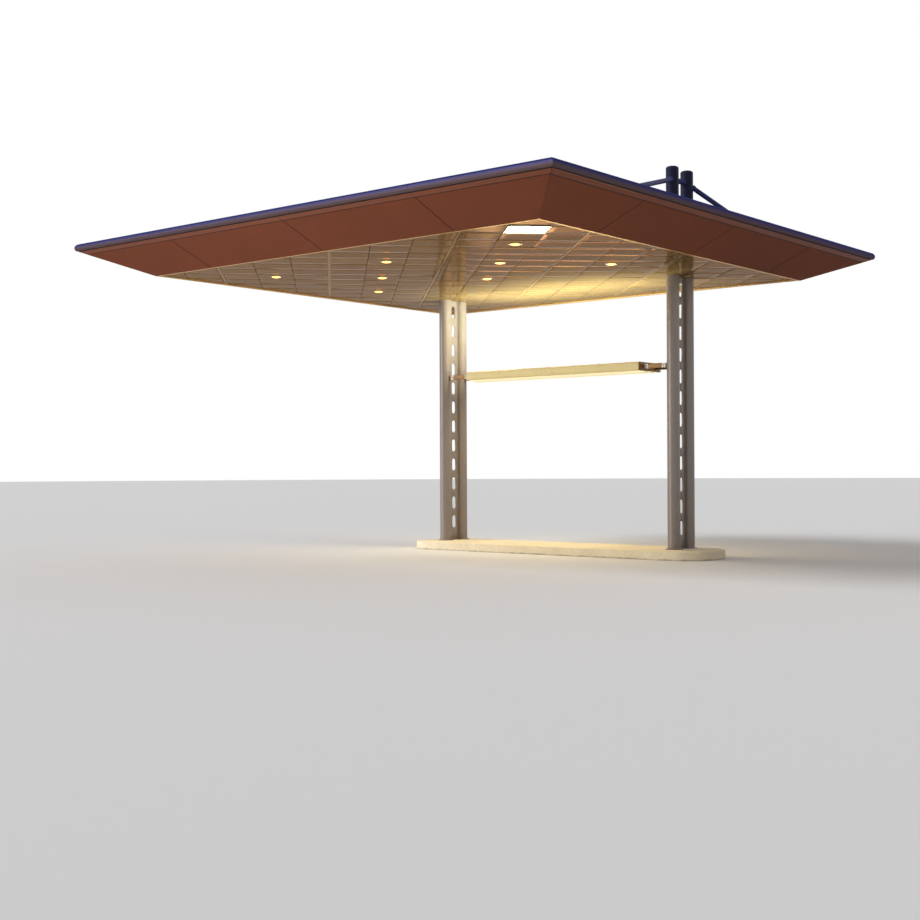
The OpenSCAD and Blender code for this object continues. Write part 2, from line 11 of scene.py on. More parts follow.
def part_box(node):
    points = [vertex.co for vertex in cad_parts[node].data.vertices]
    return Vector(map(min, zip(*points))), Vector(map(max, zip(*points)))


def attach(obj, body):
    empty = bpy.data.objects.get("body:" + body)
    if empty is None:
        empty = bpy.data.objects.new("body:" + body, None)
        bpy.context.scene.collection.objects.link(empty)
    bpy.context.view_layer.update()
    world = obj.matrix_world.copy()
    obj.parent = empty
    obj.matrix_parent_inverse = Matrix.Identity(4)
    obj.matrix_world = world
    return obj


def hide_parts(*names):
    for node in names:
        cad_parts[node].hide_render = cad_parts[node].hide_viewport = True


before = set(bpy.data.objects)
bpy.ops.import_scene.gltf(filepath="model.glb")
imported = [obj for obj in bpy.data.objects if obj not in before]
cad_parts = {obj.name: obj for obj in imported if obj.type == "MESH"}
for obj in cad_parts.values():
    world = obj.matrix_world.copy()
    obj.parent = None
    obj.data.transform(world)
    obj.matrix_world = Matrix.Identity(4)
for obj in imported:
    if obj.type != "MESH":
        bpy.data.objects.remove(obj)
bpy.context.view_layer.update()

bl_info = {
    "name": "Filling station canopy",
    "version": (1, 0, 0),
    "blender": (4, 5, 0),
    "location": "3D View > Sidebar > Canopy",
    "description": "Dresses the canopy's frame with its finished pieces, materials and stage",
    "category": "Object",
}

FRONT_EDGE, BACK_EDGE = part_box("front_nosing"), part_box("back_nosing")
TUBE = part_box("right_front_mast")
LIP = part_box("ceiling_lip")
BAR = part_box("light_bar_ends")
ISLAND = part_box("island")
ROOF_MIDDLE = (FRONT_EDGE[0].y + BACK_EDGE[1].y) / 2
NOSING_R = 0.07
SIDES = (-1, "left"), (1, "right")
ROWS = (-1, "front"), (1, "rear")
LIGHT_CELLS = (-2, 0), (-1, -1), (-1, 0), (-1, 1), (0, -2), (0, -1), (0, 0), (1, -1)
CORNER_ROW = -8


# Sizes and colours that a user may change

def length(name, text, default):
    """A length in metres that can be set."""
    return FloatProperty(name=name, description=text, default=default, unit="LENGTH", precision=4)


def paint(name, text, *colour):
    """A colour that can be set, in linear values."""
    return FloatVectorProperty(name=name, description=text, subtype="COLOR", default=colour)


class CanopySizes(bpy.types.PropertyGroup):
    """Sizes of the finished pieces, in metres"""

    roof_w: length("Roof width", "Width of the roof over its nosing", FRONT_EDGE[1].x - FRONT_EDGE[0].x)
    roof_d: length("Roof depth", "Depth of the roof over its nosing", BACK_EDGE[1].y - FRONT_EDGE[0].y)
    nosing_d: length("Nosing diameter", "Diameter of the roof's round edge", 2 * NOSING_R)
    nosing_z: length("Nosing height", "Height of the round edge's centre line", FRONT_EDGE[1].z - NOSING_R)
    nosing_lip: length("Nosing lip", "Drop of the nosing's lip under its centre",
                       FRONT_EDGE[1].z - NOSING_R - FRONT_EDGE[0].z)
    soffit_t: length("Soffit thickness", "Thickness of a soffit panel", 0.03)
    strip_w: length("Edge strip", "Width of the strip's flat part", 0.07)
    soffit_joint: length("Soffit joint", "Open joint between soffit panels", 0.018)
    hip_joint: length("Hip joint", "Open joint along a hip", 0.008)
    panel: length("Ceiling panel", "Side of a square ceiling panel", 0.6)
    panel_joint: length("Panel joint", "Open joint between ceiling panels", 0.008)
    panel_dish: length("Panel dish", "How far a ceiling panel's middle stands in", 0.0015)
    panel_tilt: length("Panel tilt", "Largest rise of a ceiling panel's edge", 0.0016)
    runner_w: length("Runner", "Width of a runner between two bays", 0.044)
    ceiling_z: length("Ceiling height", "Height of the ceiling's underside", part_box("ceiling_bay_4")[0].z)
    grid_x: length("Grid shift X", "Shift of the panel grid to the right", -0.074)
    grid_y: length("Grid shift Y", "Shift of the panel grid to the back", 0.118)
    tube_r: length("Tube radius", "Outside radius of a mast tube", (TUBE[1].x - TUBE[0].x) / 2)
    tube_y: length("Tube offset", "Distance of a tube from the line of masts", -(TUBE[0].y + TUBE[1].y) / 2)
    mast_x: length("Mast offset", "Distance of a mast from the middle", (TUBE[0].x + TUBE[1].x) / 2)
    mast_top: length("Mast height", "Height of the top of the masts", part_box("mast_caps")[1].z)
    web_t: length("Web plate", "Thickness of a web plate", 0.015)
    slot_w: length("Slot width", "Width of a slot", 0.1)
    slot_h: length("Slot height", "Height of a slot", 0.24)
    slot_pitch: length("Slot pitch", "Distance from one slot to the next", 0.3715)
    slot_top: length("First slot", "Height of the top of the lowest slot", 0.619)
    slots: IntProperty(name="Slots", description="Number of slots in a web plate", default=12)
    stay_r: length("Stay radius", "Outside radius of a stay", 0.04125)
    stay_top: length("Stay height", "Height at which the stays leave the masts", 6.45)
    anchor_x: length("Anchor offset", "Distance of a stay's foot from the middle", 3.744)
    foot_w: length("Stay foot", "Side of a stay's foot plate", 0.26)
    rail_t: length("Rail", "Thickness of the light bar's rails", 0.045)
    arm_h: length("Arm height", "Height of an arm of the light bar", 0.08)
    light_r: length("Downlight radius", "Radius of a downlight's rim", 0.095)
    lens_r: length("Lens radius", "Radius of a downlight's lens", 0.075)
    corner_r: length("Corner light", "Half the side of the corner light's frame", 0.296)
    island_r: length("Island corner", "Radius of the island's corners", 0.58)
    bolt: length("Bolt", "Width across the flats of a foot bolt's head", 0.024)


class CanopyColours(bpy.types.PropertyGroup):
    """Colours of the finishes, as linear values"""

    soffit: paint("Soffit", "Bronze coated soffit panels", 0.150, 0.045, 0.023)
    ceiling: paint("Ceiling", "Satin metal ceiling panels", 0.40, 0.26, 0.110)
    mast: paint("Masts", "Silver paint of the masts", 0.27, 0.23, 0.205)
    # Painted reflection: this blue stands in for the sky mirrored in the top of the nosing
    nosing: paint("Nosing", "Slate blue metal of the roof's edge", 0.024, 0.028, 0.100)
    # The deep blue is partly the stays' blue-grey paint and partly painted light, standing in for the dusk
    # sky's blue light on them
    stay: paint("Stays", "Blue grey paint of the stays", 0.036, 0.040, 0.140)
    # Painted shade: a dark copy of the mast paint for the masts over the roof, which stand dark against the
    # sky
    head: paint("Mast heads", "Dark slate of the masts over the roof", 0.008, 0.010, 0.034)
    deck: paint("Deck", "Grey metal of the roof deck", 0.20, 0.22, 0.25)
    bar: paint("Light bar", "Cream paint of the light bar", 0.80, 0.66, 0.26)
    bracket: paint("Brackets", "Bronze grey of the light bar's arms", 0.34, 0.19, 0.072)
    glow: paint("Tube light", "Colour of the light bar's light", 0.98, 0.98, 0.62)
    warm: paint("Downlights", "Colour of the downlights", 1.0, 0.46, 0.10)
    concrete: paint("Island", "Pale concrete of the island", 0.86, 0.75, 0.54)


def sizes():
    return bpy.context.scene.canopy_sizes


# Outlines and shapes

def arc(across, up, radius, first, last, steps):
    """Points of an arc round a centre, between two angles in degrees."""
    angles = [math.radians(first + (last - first) * k / steps) for k in range(steps + 1)]
    return [(across + radius * math.cos(a), up + radius * math.sin(a)) for a in angles]


def around(radius, offsets):
    """A profile given by its distances out from a round surface, and its heights."""
    return [(radius + out, up) for out, up in offsets]


def corners(x, y):
    """The four corners of a rectangle, from its middle."""
    return [(dx, dy) for dx in (-x, x) for dy in (-y, y)]


def facing(point, direction, spin=0.0):
    """A place whose own Z points in a direction."""
    turn = Vector(direction).to_track_quat("Z", "Y").to_matrix().to_4x4()
    return Matrix.Translation(point) @ turn @ Matrix.Rotation(spin, 4, "Z")


def join(bm, part, *places):
    """Adds a part to a larger shape, as it is or at each place."""
    mesh = bpy.data.meshes.new("part")
    part.to_mesh(mesh)
    part.free()
    for place in places or [Matrix()]:
        copy = mesh.copy()
        copy.transform(place)
        bm.from_mesh(copy)
        bpy.data.meshes.remove(copy)
    bpy.data.meshes.remove(mesh)


def turned(bm, profile, place=Matrix(), steps=48, closed=False):
    """Spins a profile of radius and height pairs round the Z of its place."""
    part = bmesh.new()
    verts = [part.verts.new((r, 0, z)) for r, z in profile]
    edges = [part.edges.new(pair) for pair in zip(verts, verts[1:])]
    if closed:
        edges.append(part.edges.new((verts[-1], verts[0])))
    bmesh.ops.spin(part, geom=verts + edges, cent=(0, 0, 0), axis=(0, 0, 1), angle=math.tau, steps=steps,
                   use_merge=True)
    bmesh.ops.remove_doubles(part, verts=part.verts, dist=1e-6)
    join(bm, part, place)


def between(bm, near, far, place=Matrix(), soft=0.0):
    """A closed solid between two loops of the same number of points; soft rounds its edges off."""
    part = bmesh.new()
    loops = [part.faces.new([part.verts.new(p) for p in points]) for points in (near, far)]
    bmesh.ops.bridge_loops(part, edges=[e for face in loops for e in face.edges])
    if soft:
        soften(part, part.edges[:], soft)
    join(bm, part, place)


def upright(bm, outline, low, high, place=Matrix(), soft=0.0):
    """Draws an outline of X and Y pairs up from one height to another."""
    between(bm, [(x, y, low) for x, y in outline], [(x, y, high) for x, y in outline], place, soft)


def drawn_out(bm, outline, a, b):
    """Draws an outline of Y and Z pairs out from one X to another."""
    between(bm, [(a, y, z) for y, z in outline], [(b, y, z) for y, z in outline])


def soften(bm, edges, offset, segments=2):
    """Rounds edges off."""
    bmesh.ops.bevel(bm, geom=edges, offset=offset, offset_type="OFFSET", segments=segments, profile=0.5,
                    affect="EDGES", material=-1, clamp_overlap=True)


def push(bm, made, by):
    """Moves the new end of an extrusion."""
    moved = [v for v in made["geom"] if isinstance(v, bmesh.types.BMVert)]
    bmesh.ops.translate(bm, vec=by, verts=moved)


def trim(bm, point, out):
    """Cuts off what lies beyond a plane, and returns the edges of the cut."""
    made = bmesh.ops.bisect_plane(bm, geom=bm.verts[:] + bm.edges[:] + bm.faces[:], dist=1e-5,
                                  plane_co=point, plane_no=out, clear_outer=True)
    return [e for e in made["geom_cut"] if isinstance(e, bmesh.types.BMEdge)]


def block(bm, size, at, soft):
    """A box with softened edges."""
    part = bmesh.new()
    bmesh.ops.create_cube(part, size=1.0)
    bmesh.ops.scale(part, vec=size, verts=part.verts)
    soften(part, part.edges[:], soft)
    join(bm, part, Matrix.Translation(at))


def put(name, data):
    """A new object in the scene."""
    made = bpy.data.objects.new(name, data)
    bpy.context.scene.collection.objects.link(made)
    return made


def finish_piece(bm, name, finish_name, nodes=(), smooth=38, outward=True):
    """Makes the object, sets its shading and fastens it to the frame."""
    if outward:
        bmesh.ops.recalc_face_normals(bm, faces=bm.faces)
    limit = math.radians(smooth)
    for face in bm.faces:
        face.smooth = True
    for edge in bm.edges:
        edge.smooth = edge.is_manifold and edge.calc_face_angle(0) < limit
    mesh = bpy.data.meshes.new(name)
    bm.to_mesh(mesh)
    bm.free()
    mesh.materials.append(bpy.data.materials[finish_name])
    piece = put(name, mesh)
    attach(piece, "root")
    if nodes:
        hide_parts(*nodes)


def turned_piece(name, finish_name, slot, profile, places, nodes=(), **options):
    """One profile turned at each place."""
    bm = bmesh.new()
    for place in places:
        turned(bm, profile, place, **options)
    finish_piece(bm, name, finish_name, nodes)


def bolt_piece(name, flats, places):
    """Hexagon heads on washers, each standing on the ground plane of its place."""
    washer_h, head_h = 0.12 * flats, 0.62 * flats
    bm, part, head = bmesh.new(), bmesh.new(), bmesh.new()
    turned(part, [(flats * 0.3, 0), (flats * 1.02, 0), (flats * 1.05, washer_h / 3),
                  (flats * 1.02, washer_h), (flats * 0.3, washer_h)], steps=20)
    bmesh.ops.create_cone(head, cap_ends=True, segments=6, radius1=flats / math.sqrt(3),
                          radius2=flats / math.sqrt(3), depth=head_h)
    soften(head, head.edges[:], flats * 0.05, 1)
    join(part, head, Matrix.Translation((0, 0, washer_h + head_h / 2)))
    join(bm, part, *places)
    finish_piece(bm, name, "zinc_bolt")


# Places on the masts, the ceiling and the roof

def mast_places(z=0.0):
    """Each mast tube: the signs of its side and row, its name and its place at a height."""
    s = sizes()
    for sx, side in SIDES:
        for sy, row in ROWS:
            yield sx, sy, f"{side}_{row}", Matrix.Translation((sx * s.mast_x, sy * s.tube_y, z))


def on_grid(x, y, z=0.0):
    """A place on the diagonal ceiling grid."""
    s = sizes()
    turn = Matrix.Rotation(math.pi / 4, 4, "Z")
    return Matrix.Translation((s.grid_x, ROOF_MIDDLE + s.grid_y, 0)) @ turn @ Matrix.Translation((x, y, z))


Side = namedtuple("Side", "name dist run half run_a run_b turn")


def sides():
    """The roof's sides: distance from its middle, run of the slope, half length, run at each end, turn."""
    s = sizes()
    w, d = s.roof_w / 2, s.roof_d / 2
    side = w + LIP[0].x
    front = LIP[0].y - (ROOF_MIDDLE - d)
    back = ROOF_MIDDLE + d - LIP[1].y
    return [Side("front", d, front, w, side, side, 0), Side("back", d, back, w, side, side, math.pi),
            Side("left", w, side, d, back, front, -math.pi / 2),
            Side("right", w, side, d, front, back, math.pi / 2)]


def on_roof(side):
    return Matrix.Translation((0, ROOF_MIDDLE, 0)) @ Matrix.Rotation(side.turn, 4, "Z")


def joints():
    """Lines of the joints across a side, from its middle."""
    bay = 6 * sizes().panel / math.sqrt(2)
    return [-bay, 0.0, bay]


def slope(side, k):
    """Place across a side and height of its soffit's face, from 0 at the nosing to 1 inside."""
    s = sizes()
    r = s.nosing_d / 2
    high = s.nosing_z - r
    return r + k * (side.run - r) - side.dist, high + k * (LIP[0].z - high)


def side_lengths(side, depths, gap, mitre):
    """The two ends of each length of a side, from hip to joint to hip, at depths in from its edge."""
    r = sizes().nosing_d / 2

    def reach(y, run):
        return side.half - (y if y < r else r + (y - r) * (run - r) / (side.run - r)) - mitre

    ends = [[-reach(y, side.run_a) for y in depths]]
    for line in joints():
        ends += [[line - gap] * len(depths), [line + gap] * len(depths)]
    ends.append([reach(y, side.run_b) for y in depths])
    return zip(ends[::2], ends[1::2])


def slab(bm, side, k0, k1, left, right, low, high, soft=0.0):
    """A plate on a slope, between two heights over its face; left and right are its ends at k0 and k1."""
    (y0, z0), (y1, z1) = slope(side, k0), slope(side, k1)
    face = [(left[0], y0, z0), (right[0], y0, z0), (right[1], y1, z1), (left[1], y1, z1)]
    between(bm, *([(x, y, z + rise) for x, y, z in face] for rise in (low, high)), on_roof(side), soft)


def edge_arc(inside, low, high, steps):
    """Points of the roof's round edge, or of an arc inside it, from one height up to another."""
    s = sizes()
    across = s.nosing_d / 2
    r = across - inside
    a, b = (math.acos(max(-1, min(1, (z - s.nosing_z) / r))) for z in (low, high))
    turns = [a + (b - a) * k / steps for k in range(steps + 1)]
    return [(across - r * math.sin(t), s.nosing_z + r * math.cos(t)) for t in turns]


def edge_lengths(bm, side, outline, gap, mitre=0.0):
    """Sweeps a section of the edge along one side in lengths, mitred at the corners."""
    for ends in side_lengths(side, [y for y, z in outline], gap, mitre):
        near, far = ([(x, y - side.dist, z) for x, (y, z) in zip(end, outline)] for end in ends)
        between(bm, near, far, on_roof(side))


# Nodes of the finishes

def fill(tree, socket, source):
    """Links a socket to another, or gives it a value; a colour has three numbers."""
    if isinstance(source, bpy.types.NodeSocket):
        tree.links.new(source, socket)
    else:
        socket.default_value = tuple(source) + (1,) if socket.type == "RGBA" else source


def feed(tree, made, **sources):
    """Fills inputs of a node by their names."""
    for key, source in sources.items():
        fill(tree, made.inputs[key.replace("_", " ")], source)


def node(tree, kind, *first, **others):
    """Adds a node; first fills its first inputs in order, others its settings and named inputs."""
    made = tree.nodes.new("ShaderNode" + kind)
    for key, source in others.items():
        if hasattr(made, key):
            setattr(made, key, source)
        else:
            feed(tree, made, **{key: source})
    for socket, source in zip(made.inputs, first):
        fill(tree, socket, source)
    return made


def maths(tree, operation, *terms):
    return node(tree, "Math", *terms, operation=operation).outputs[0]


def here(tree):
    """The piece's own coordinates."""
    return node(tree, "TexCoord").outputs["Object"]


def noise(tree, where, scale, detail, rough=0.5):
    return node(tree, "TexNoise", Vector=where, Scale=scale, Detail=detail, Roughness=rough).outputs["Fac"]


def scaled(tree, colour, level):
    return node(tree, "VectorMath", colour, operation="SCALE", Scale=level).outputs[0]


def ramp(tree, source, stops):
    """Turns a value into another between two stops."""
    made = node(tree, "ValToRGB", source)
    for element, (place, value) in zip(made.color_ramp.elements, stops):
        element.position = place
        element.color = (value, value, value, 1)
    return made.outputs[0]


def bump(tree, shader, height, strength=0.2, distance=0.001):
    made = node(tree, "Bump", Height=height, Strength=strength, Distance=distance)
    feed(tree, shader, Normal=made.outputs[0])


def mix_dirt_and_sheen(tree, clean, mask, dirt):
    """Mixes a second colour over a colour by a mask: dirt, and on the nosing a painted reflection."""
    made = node(tree, "Mix", mask, data_type="RGBA")
    fill(tree, made.inputs[6], clean)
    fill(tree, made.inputs[7], dirt)
    return made.outputs[2]


# Effects that several finishes share

def group(name, inputs, outputs):
    """A shared effect: its tree, what it is given and the node that puts out its results."""
    tree = bpy.data.node_groups.new(name, "ShaderNodeTree")
    for flow, labels in (("INPUT", inputs), ("OUTPUT", outputs)):
        for label in labels:
            kind = "NodeSocketColor" if label == "Color" else "NodeSocketFloat"
            socket = tree.interface.new_socket(label, in_out=flow, socket_type=kind)
            if flow == "INPUT":
                socket.default_value = inputs[label]
    return tree, tree.nodes.new("NodeGroupInput").outputs, tree.nodes.new("NodeGroupOutput")


def make_tone():
    """Broad patches and fine mottle of a surface, as a tinted colour and a roughness."""
    tree, given, out = group("Tone", {"Color": (0.5, 0.5, 0.5, 1), "Scale": 1.0, "Depth": 0.15,
                                      "Roughness": 0.4, "Roughness Spread": 0.1}, ["Color", "Roughness"])
    where, finer = here(tree), 14.0
    broad = noise(tree, where, given["Scale"], 3.0, 0.55)
    fine = noise(tree, where, maths(tree, "MULTIPLY", given["Scale"], finer), 4.0, 0.6)
    swing = maths(tree, "SUBTRACT", maths(tree, "ADD", broad, fine), 1.0)
    level = maths(tree, "MULTIPLY_ADD", swing, given["Depth"], 1.0)
    rough = maths(tree, "MULTIPLY_ADD", swing, given["Roughness Spread"], given["Roughness"])
    feed(tree, out, Color=scaled(tree, given["Color"], level), Roughness=rough)


def make_rain():
    """Streaks that run down a surface, as a mask."""
    tree, given, out = group("Rain", {"Amount": 0.5}, ["Mask"])
    tall = node(tree, "Mapping", here(tree), Scale=(9, 9, 0.35)).outputs[0]
    mask = ramp(tree, noise(tree, tall, 2.2, 5.0, 0.65), [(0.46, 0), (0.7, 1)])
    feed(tree, out, Mask=maths(tree, "MULTIPLY", mask, given["Amount"]))


def make_splash():
    """Dirt that splashes up from the ground, as a mask that fades with height."""
    tree, given, out = group("Splash", {"Height": 0.6, "Amount": 0.6}, ["Mask"])
    where = here(tree)
    part = maths(tree, "DIVIDE", node(tree, "SeparateXYZ", where).outputs[2], given["Height"])
    fade = ramp(tree, maths(tree, "ADD", part, noise(tree, where, 7.0, 6.0)), [(0.45, 1), (1.0, 0)])
    feed(tree, out, Mask=maths(tree, "MULTIPLY", fade, given["Amount"]))


def make_grain():
    """Fine relief of a coat or sheet over long waves, as a height."""
    tree, given, out = group("Grain", {"Scale": 300.0, "Waves": 1.2}, ["Height"])
    where, swell = here(tree), 12.0
    fine = noise(tree, where, given["Scale"], 2.0)
    wave = noise(tree, where, given["Waves"], 1.0)
    feed(tree, out, Height=maths(tree, "MULTIPLY_ADD", wave, swell, fine))


def make_rise():
    """How far up a surface lies between two heights, as a mask."""
    tree, given, out = group("Rise", {"From": 0.0, "To": 1.0}, ["Mask"])
    z = node(tree, "SeparateXYZ", here(tree)).outputs[2]
    feed(tree, out, Mask=node(tree, "MapRange", z, given["From"], given["To"]).outputs[0])


def use(tree, shared, **sources):
    """The outputs of a shared effect with its own values."""
    made = tree.nodes.new("ShaderNodeGroup")
    made.node_tree = bpy.data.node_groups[shared]
    feed(tree, made, **sources)
    return made.outputs


# Finishes

def finish(name, **sources):
    """A new finish, with values for its shader's inputs."""
    made = bpy.data.materials.new(name)
    made.use_nodes = True
    shader = made.node_tree.nodes["Principled BSDF"]
    feed(made.node_tree, shader, **sources)
    return made.node_tree, shader


def coated(name, colour, roughness, metallic, depth=0.12, scale=1.0, streaks=0.25, splash=0.0,
           dirt=(0.12, 0.10, 0.08), relief=0.15, waves=1.2, grain=300.0, specular=0.5, upper=None,
           tint=(1, 1, 1)):
    """Painted or coated metal with mottle, streaks, splashes and a fine relief; upper gives
    another colour, and the heights between which the coat turns into it."""
    tree, shader = finish(name, Metallic=metallic, Specular_IOR_Level=specular, Specular_Tint=tint)
    tone = use(tree, "Tone", Color=colour, Scale=scale, Depth=depth, Roughness=roughness,
               Roughness_Spread=0.12)
    coat, rough = tone["Color"], tone["Roughness"]
    # upper lays a painted reflection over the top of the coat
    if upper:
        coat = mix_dirt_and_sheen(tree, coat, use(tree, "Rise", From=upper[1], To=upper[2])["Mask"], upper[0])
    if streaks:
        coat = mix_dirt_and_sheen(tree, coat, use(tree, "Rain", Amount=streaks)["Mask"], dirt)
    if splash:
        mask, duller = use(tree, "Splash", Amount=splash)["Mask"], 0.35
        coat = mix_dirt_and_sheen(tree, coat, mask, dirt)
        rough = maths(tree, "MULTIPLY_ADD", mask, duller, rough)
    feed(tree, shader, Base_Color=coat, Roughness=rough)
    bump(tree, shader, use(tree, "Grain", Scale=grain, Waves=waves)["Height"], relief)


def shining(name, colour, strength, pitch=0.0):
    """A lit diffuser; pitch is the distance between the bright bands over its tubes."""
    dark, dimmest, gloom = 0.3, 0.86, 0.72
    tree, shader = finish(name, Roughness=0.35, Specular_IOR_Level=0.2, Emission_Strength=strength,
                          Base_Color=[dark * x for x in colour])
    where = here(tree)
    level = ramp(tree, noise(tree, where, 3.0, 2.0), [(0.2, dimmest), (0.8, 1.0)])
    if pitch:
        y = node(tree, "SeparateXYZ", where).outputs[1]
        wave = maths(tree, "COSINE", maths(tree, "MULTIPLY", y, math.tau / pitch))
        band = node(tree, "MapRange", wave, -1.0, 1.0, gloom).outputs[0]
        level = maths(tree, "MULTIPLY", level, band)
    feed(tree, shader, Emission_Color=scaled(tree, tuple(colour), level))
    bump(tree, shader, node(tree, "TexVoronoi", Vector=where, Scale=180.0).outputs["Distance"], 0.15)


def make_ceiling(colour):
    """Satin metal whose tone and gloss differ a little from panel to panel."""
    s = sizes()
    tree, shader = finish("ceiling_satin", Metallic=0.7, Specular_IOR_Level=0.05,
                          Specular_Tint=(0.32, 0.17, 0.070))
    grid = node(tree, "Mapping", here(tree), vector_type="TEXTURE", Rotation=(0, 0, math.pi / 4),
                Location=(s.grid_x, ROOF_MIDDLE + s.grid_y, 0), Scale=(s.panel, s.panel, 100)).outputs[0]
    middle = node(tree, "VectorMath", grid, (0.5, 0.5, 0.5), operation="ADD").outputs[0]
    cell = node(tree, "VectorMath", middle, operation="FLOOR").outputs[0]
    chance = node(tree, "TexWhiteNoise", cell).outputs["Value"]
    base = scaled(tree, tuple(colour), ramp(tree, chance, [(0.0, 0.80), (1.0, 1.0)]))
    tone = use(tree, "Tone", Color=base, Scale=1.4, Depth=0.14, Roughness=0.10, Roughness_Spread=0.06)
    rough = maths(tree, "MULTIPLY_ADD", chance, 0.05, tone["Roughness"])
    feed(tree, shader, Base_Color=tone["Color"], Roughness=rough)
    brushed = node(tree, "Mapping", grid, Scale=(3.0, 240.0, 1.0)).outputs[0]
    bump(tree, shader, noise(tree, brushed, 1.0, 2.0), 0.05)


def make_concrete(colour):
    """Cast concrete with sand, pores and stains, darker towards the ground."""
    tree, shader = finish("island_concrete")
    where = here(tree)
    tone = use(tree, "Tone", Color=colour, Scale=1.6, Depth=0.34, Roughness=0.82, Roughness_Spread=0.12)
    sand, stain = noise(tree, where, 420.0, 2.0), noise(tree, where, 2.3, 8.0, 0.7)
    coat = mix_dirt_and_sheen(tree, tone["Color"], ramp(tree, sand, [(0.56, 0), (0.72, 0.3)]), (0.40, 0.35, 0.28))
    coat = mix_dirt_and_sheen(tree, coat, ramp(tree, stain, [(0.54, 0), (0.72, 0.2)]), (0.34, 0.28, 0.21))
    # Darker along the foot, by the splash mask
    coat = mix_dirt_and_sheen(tree, coat, use(tree, "Splash", Height=0.05, Amount=0.6)["Mask"], (0.13, 0.10, 0.075))
    feed(tree, shader, Base_Color=coat, Roughness=tone["Roughness"])
    pores = node(tree, "TexVoronoi", Vector=where, Scale=90.0).outputs["Distance"]
    bump(tree, shader, maths(tree, "ADD", sand, ramp(tree, pores, [(0.06, 0), (0.2, 1)])), 0.4, 0.002)


def make_finishes():
    """All finishes, by name."""
    for make in (make_tone, make_rain, make_splash, make_grain, make_rise):
        make()
    c = bpy.context.scene.canopy_colours
    nose, fade, tubes = sizes().nosing_z, 0.035, 0.21
    coated("soffit_bronze", c.soffit, 0.74, 0.0, depth=0.22, scale=0.9, streaks=0.10,
           dirt=(0.10, 0.035, 0.02), relief=0.10, waves=0.9, grain=500, specular=0.06)
    # Painted light: a lighter copy of the soffit bronze, standing in for the light the rounded strip catches
    coated("strip_bronze_painted_light", [1.12 * x for x in c.soffit], 0.48, 0.0, streaks=0.12,
           dirt=(0.12, 0.05, 0.03), relief=0.06, grain=500, specular=0.15)
    coated("mast_silver", c.mast, 0.34, 0.25, depth=0.10, scale=1.3, streaks=0.16, splash=0.3,
           dirt=(0.16, 0.13, 0.11), relief=0.05, waves=2.0, grain=420, specular=0.3)
    # Painted shade: the masts over the roof get a dark copy of their paint
    coated("head_painted_shade", c.head, 0.5, 0.0, depth=0.2, streaks=0.2, dirt=(0.03, 0.035, 0.06),
           relief=0.05, grain=420, specular=0.12)
    # Painted reflections: the brown-grey base stands in for the ground mirrored in the nosing's lower half;
    # the blue above its centre line and the blue specular tint stand in for the sky mirrored in its top
    coated("nosing_painted_reflections", (0.125, 0.085, 0.082), 0.5, 0.6, depth=0.16, scale=1.1, streaks=0.08,
           dirt=(0.04, 0.04, 0.06), relief=0.03, waves=1.4, grain=420, specular=0.04,
           tint=(0.22, 0.25, 0.60), upper=(c.nosing, nose - fade, nose + fade))
    # Blue-grey paint whose deep blue is partly painted sky light
    coated("stay_paint_and_skylight", c.stay, 0.55, 0.0, depth=0.14, streaks=0.1, dirt=(0.02, 0.03, 0.08),
           relief=0.04, grain=420, specular=0.12)
    coated("deck_grey", c.deck, 0.45, 0.7, depth=0.22, scale=0.7, streaks=0.0, relief=0.25, waves=1.6)
    coated("bar_cream", c.bar, 0.34, 0.0, depth=0.08, streaks=0.10, dirt=(0.35, 0.27, 0.12),
           relief=0.08, grain=500)
    coated("bracket_bronze", c.bracket, 0.40, 0.25, depth=0.2, streaks=0.2, dirt=(0.10, 0.07, 0.05),
           specular=0.2)
    coated("runner_metal", [0.95 * x for x in c.ceiling], 0.18, 0.6, depth=0.1, streaks=0.0,
           relief=0.03, specular=0.1, tint=(0.46, 0.28, 0.15))
    # Painted light: a much lighter copy of the ceiling metal, standing in for the light on the lip's edge
    coated("lip_metal_painted_light", [1.8 * x for x in c.ceiling], 0.22, 0.5, depth=0.1, streaks=0.0, relief=0.03,
           specular=0.1, tint=(0.70, 0.52, 0.28))
    coated("rim_metal", (0.62, 0.58, 0.50), 0.22, 1.0, depth=0.08, streaks=0.0, relief=0.05)
    coated("zinc_bolt", (0.42, 0.41, 0.40), 0.38, 1.0, depth=0.25, scale=8, streaks=0.15, relief=0.1)
    coated("girder_primer", (0.16, 0.035, 0.025), 0.6, 0.1, depth=0.25, streaks=0.3)
    coated("seal_black", (0.018, 0.018, 0.02), 0.7, 0.0, depth=0.3, scale=6, streaks=0.0, relief=0.3)
    shining("tube_light_up", c.glow, 16.0, tubes)
    shining("tube_light_down", (1.0, 0.86, 0.50), 0.9, tubes)
    shining("downlight_warm", c.warm, 5.0)
    shining("corner_glow", c.glow, 5.0)
    make_ceiling(c.ceiling)
    make_concrete(c.concrete)


KEPT_NODES = {"roof_deck": "deck_grey", "ceiling_runners": "runner_metal", "ceiling_lip": "lip_metal_painted_light",
              "side_girders": "girder_primer", "cross_girders": "girder_primer"}


# Operators, one for each group of pieces

class CANOPY_OT_finishes(bpy.types.Operator):
    """Makes every finish, and gives theirs to the frame's parts that stay in view"""

    bl_idname = "canopy.finishes"
    bl_label = "Finishes"

    def execute(self, context):
        make_finishes()
        for name, finish_name in KEPT_NODES.items():
            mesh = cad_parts[name].data
            mesh.materials.clear()
            mesh.materials.append(bpy.data.materials[finish_name])
        return {"FINISHED"}


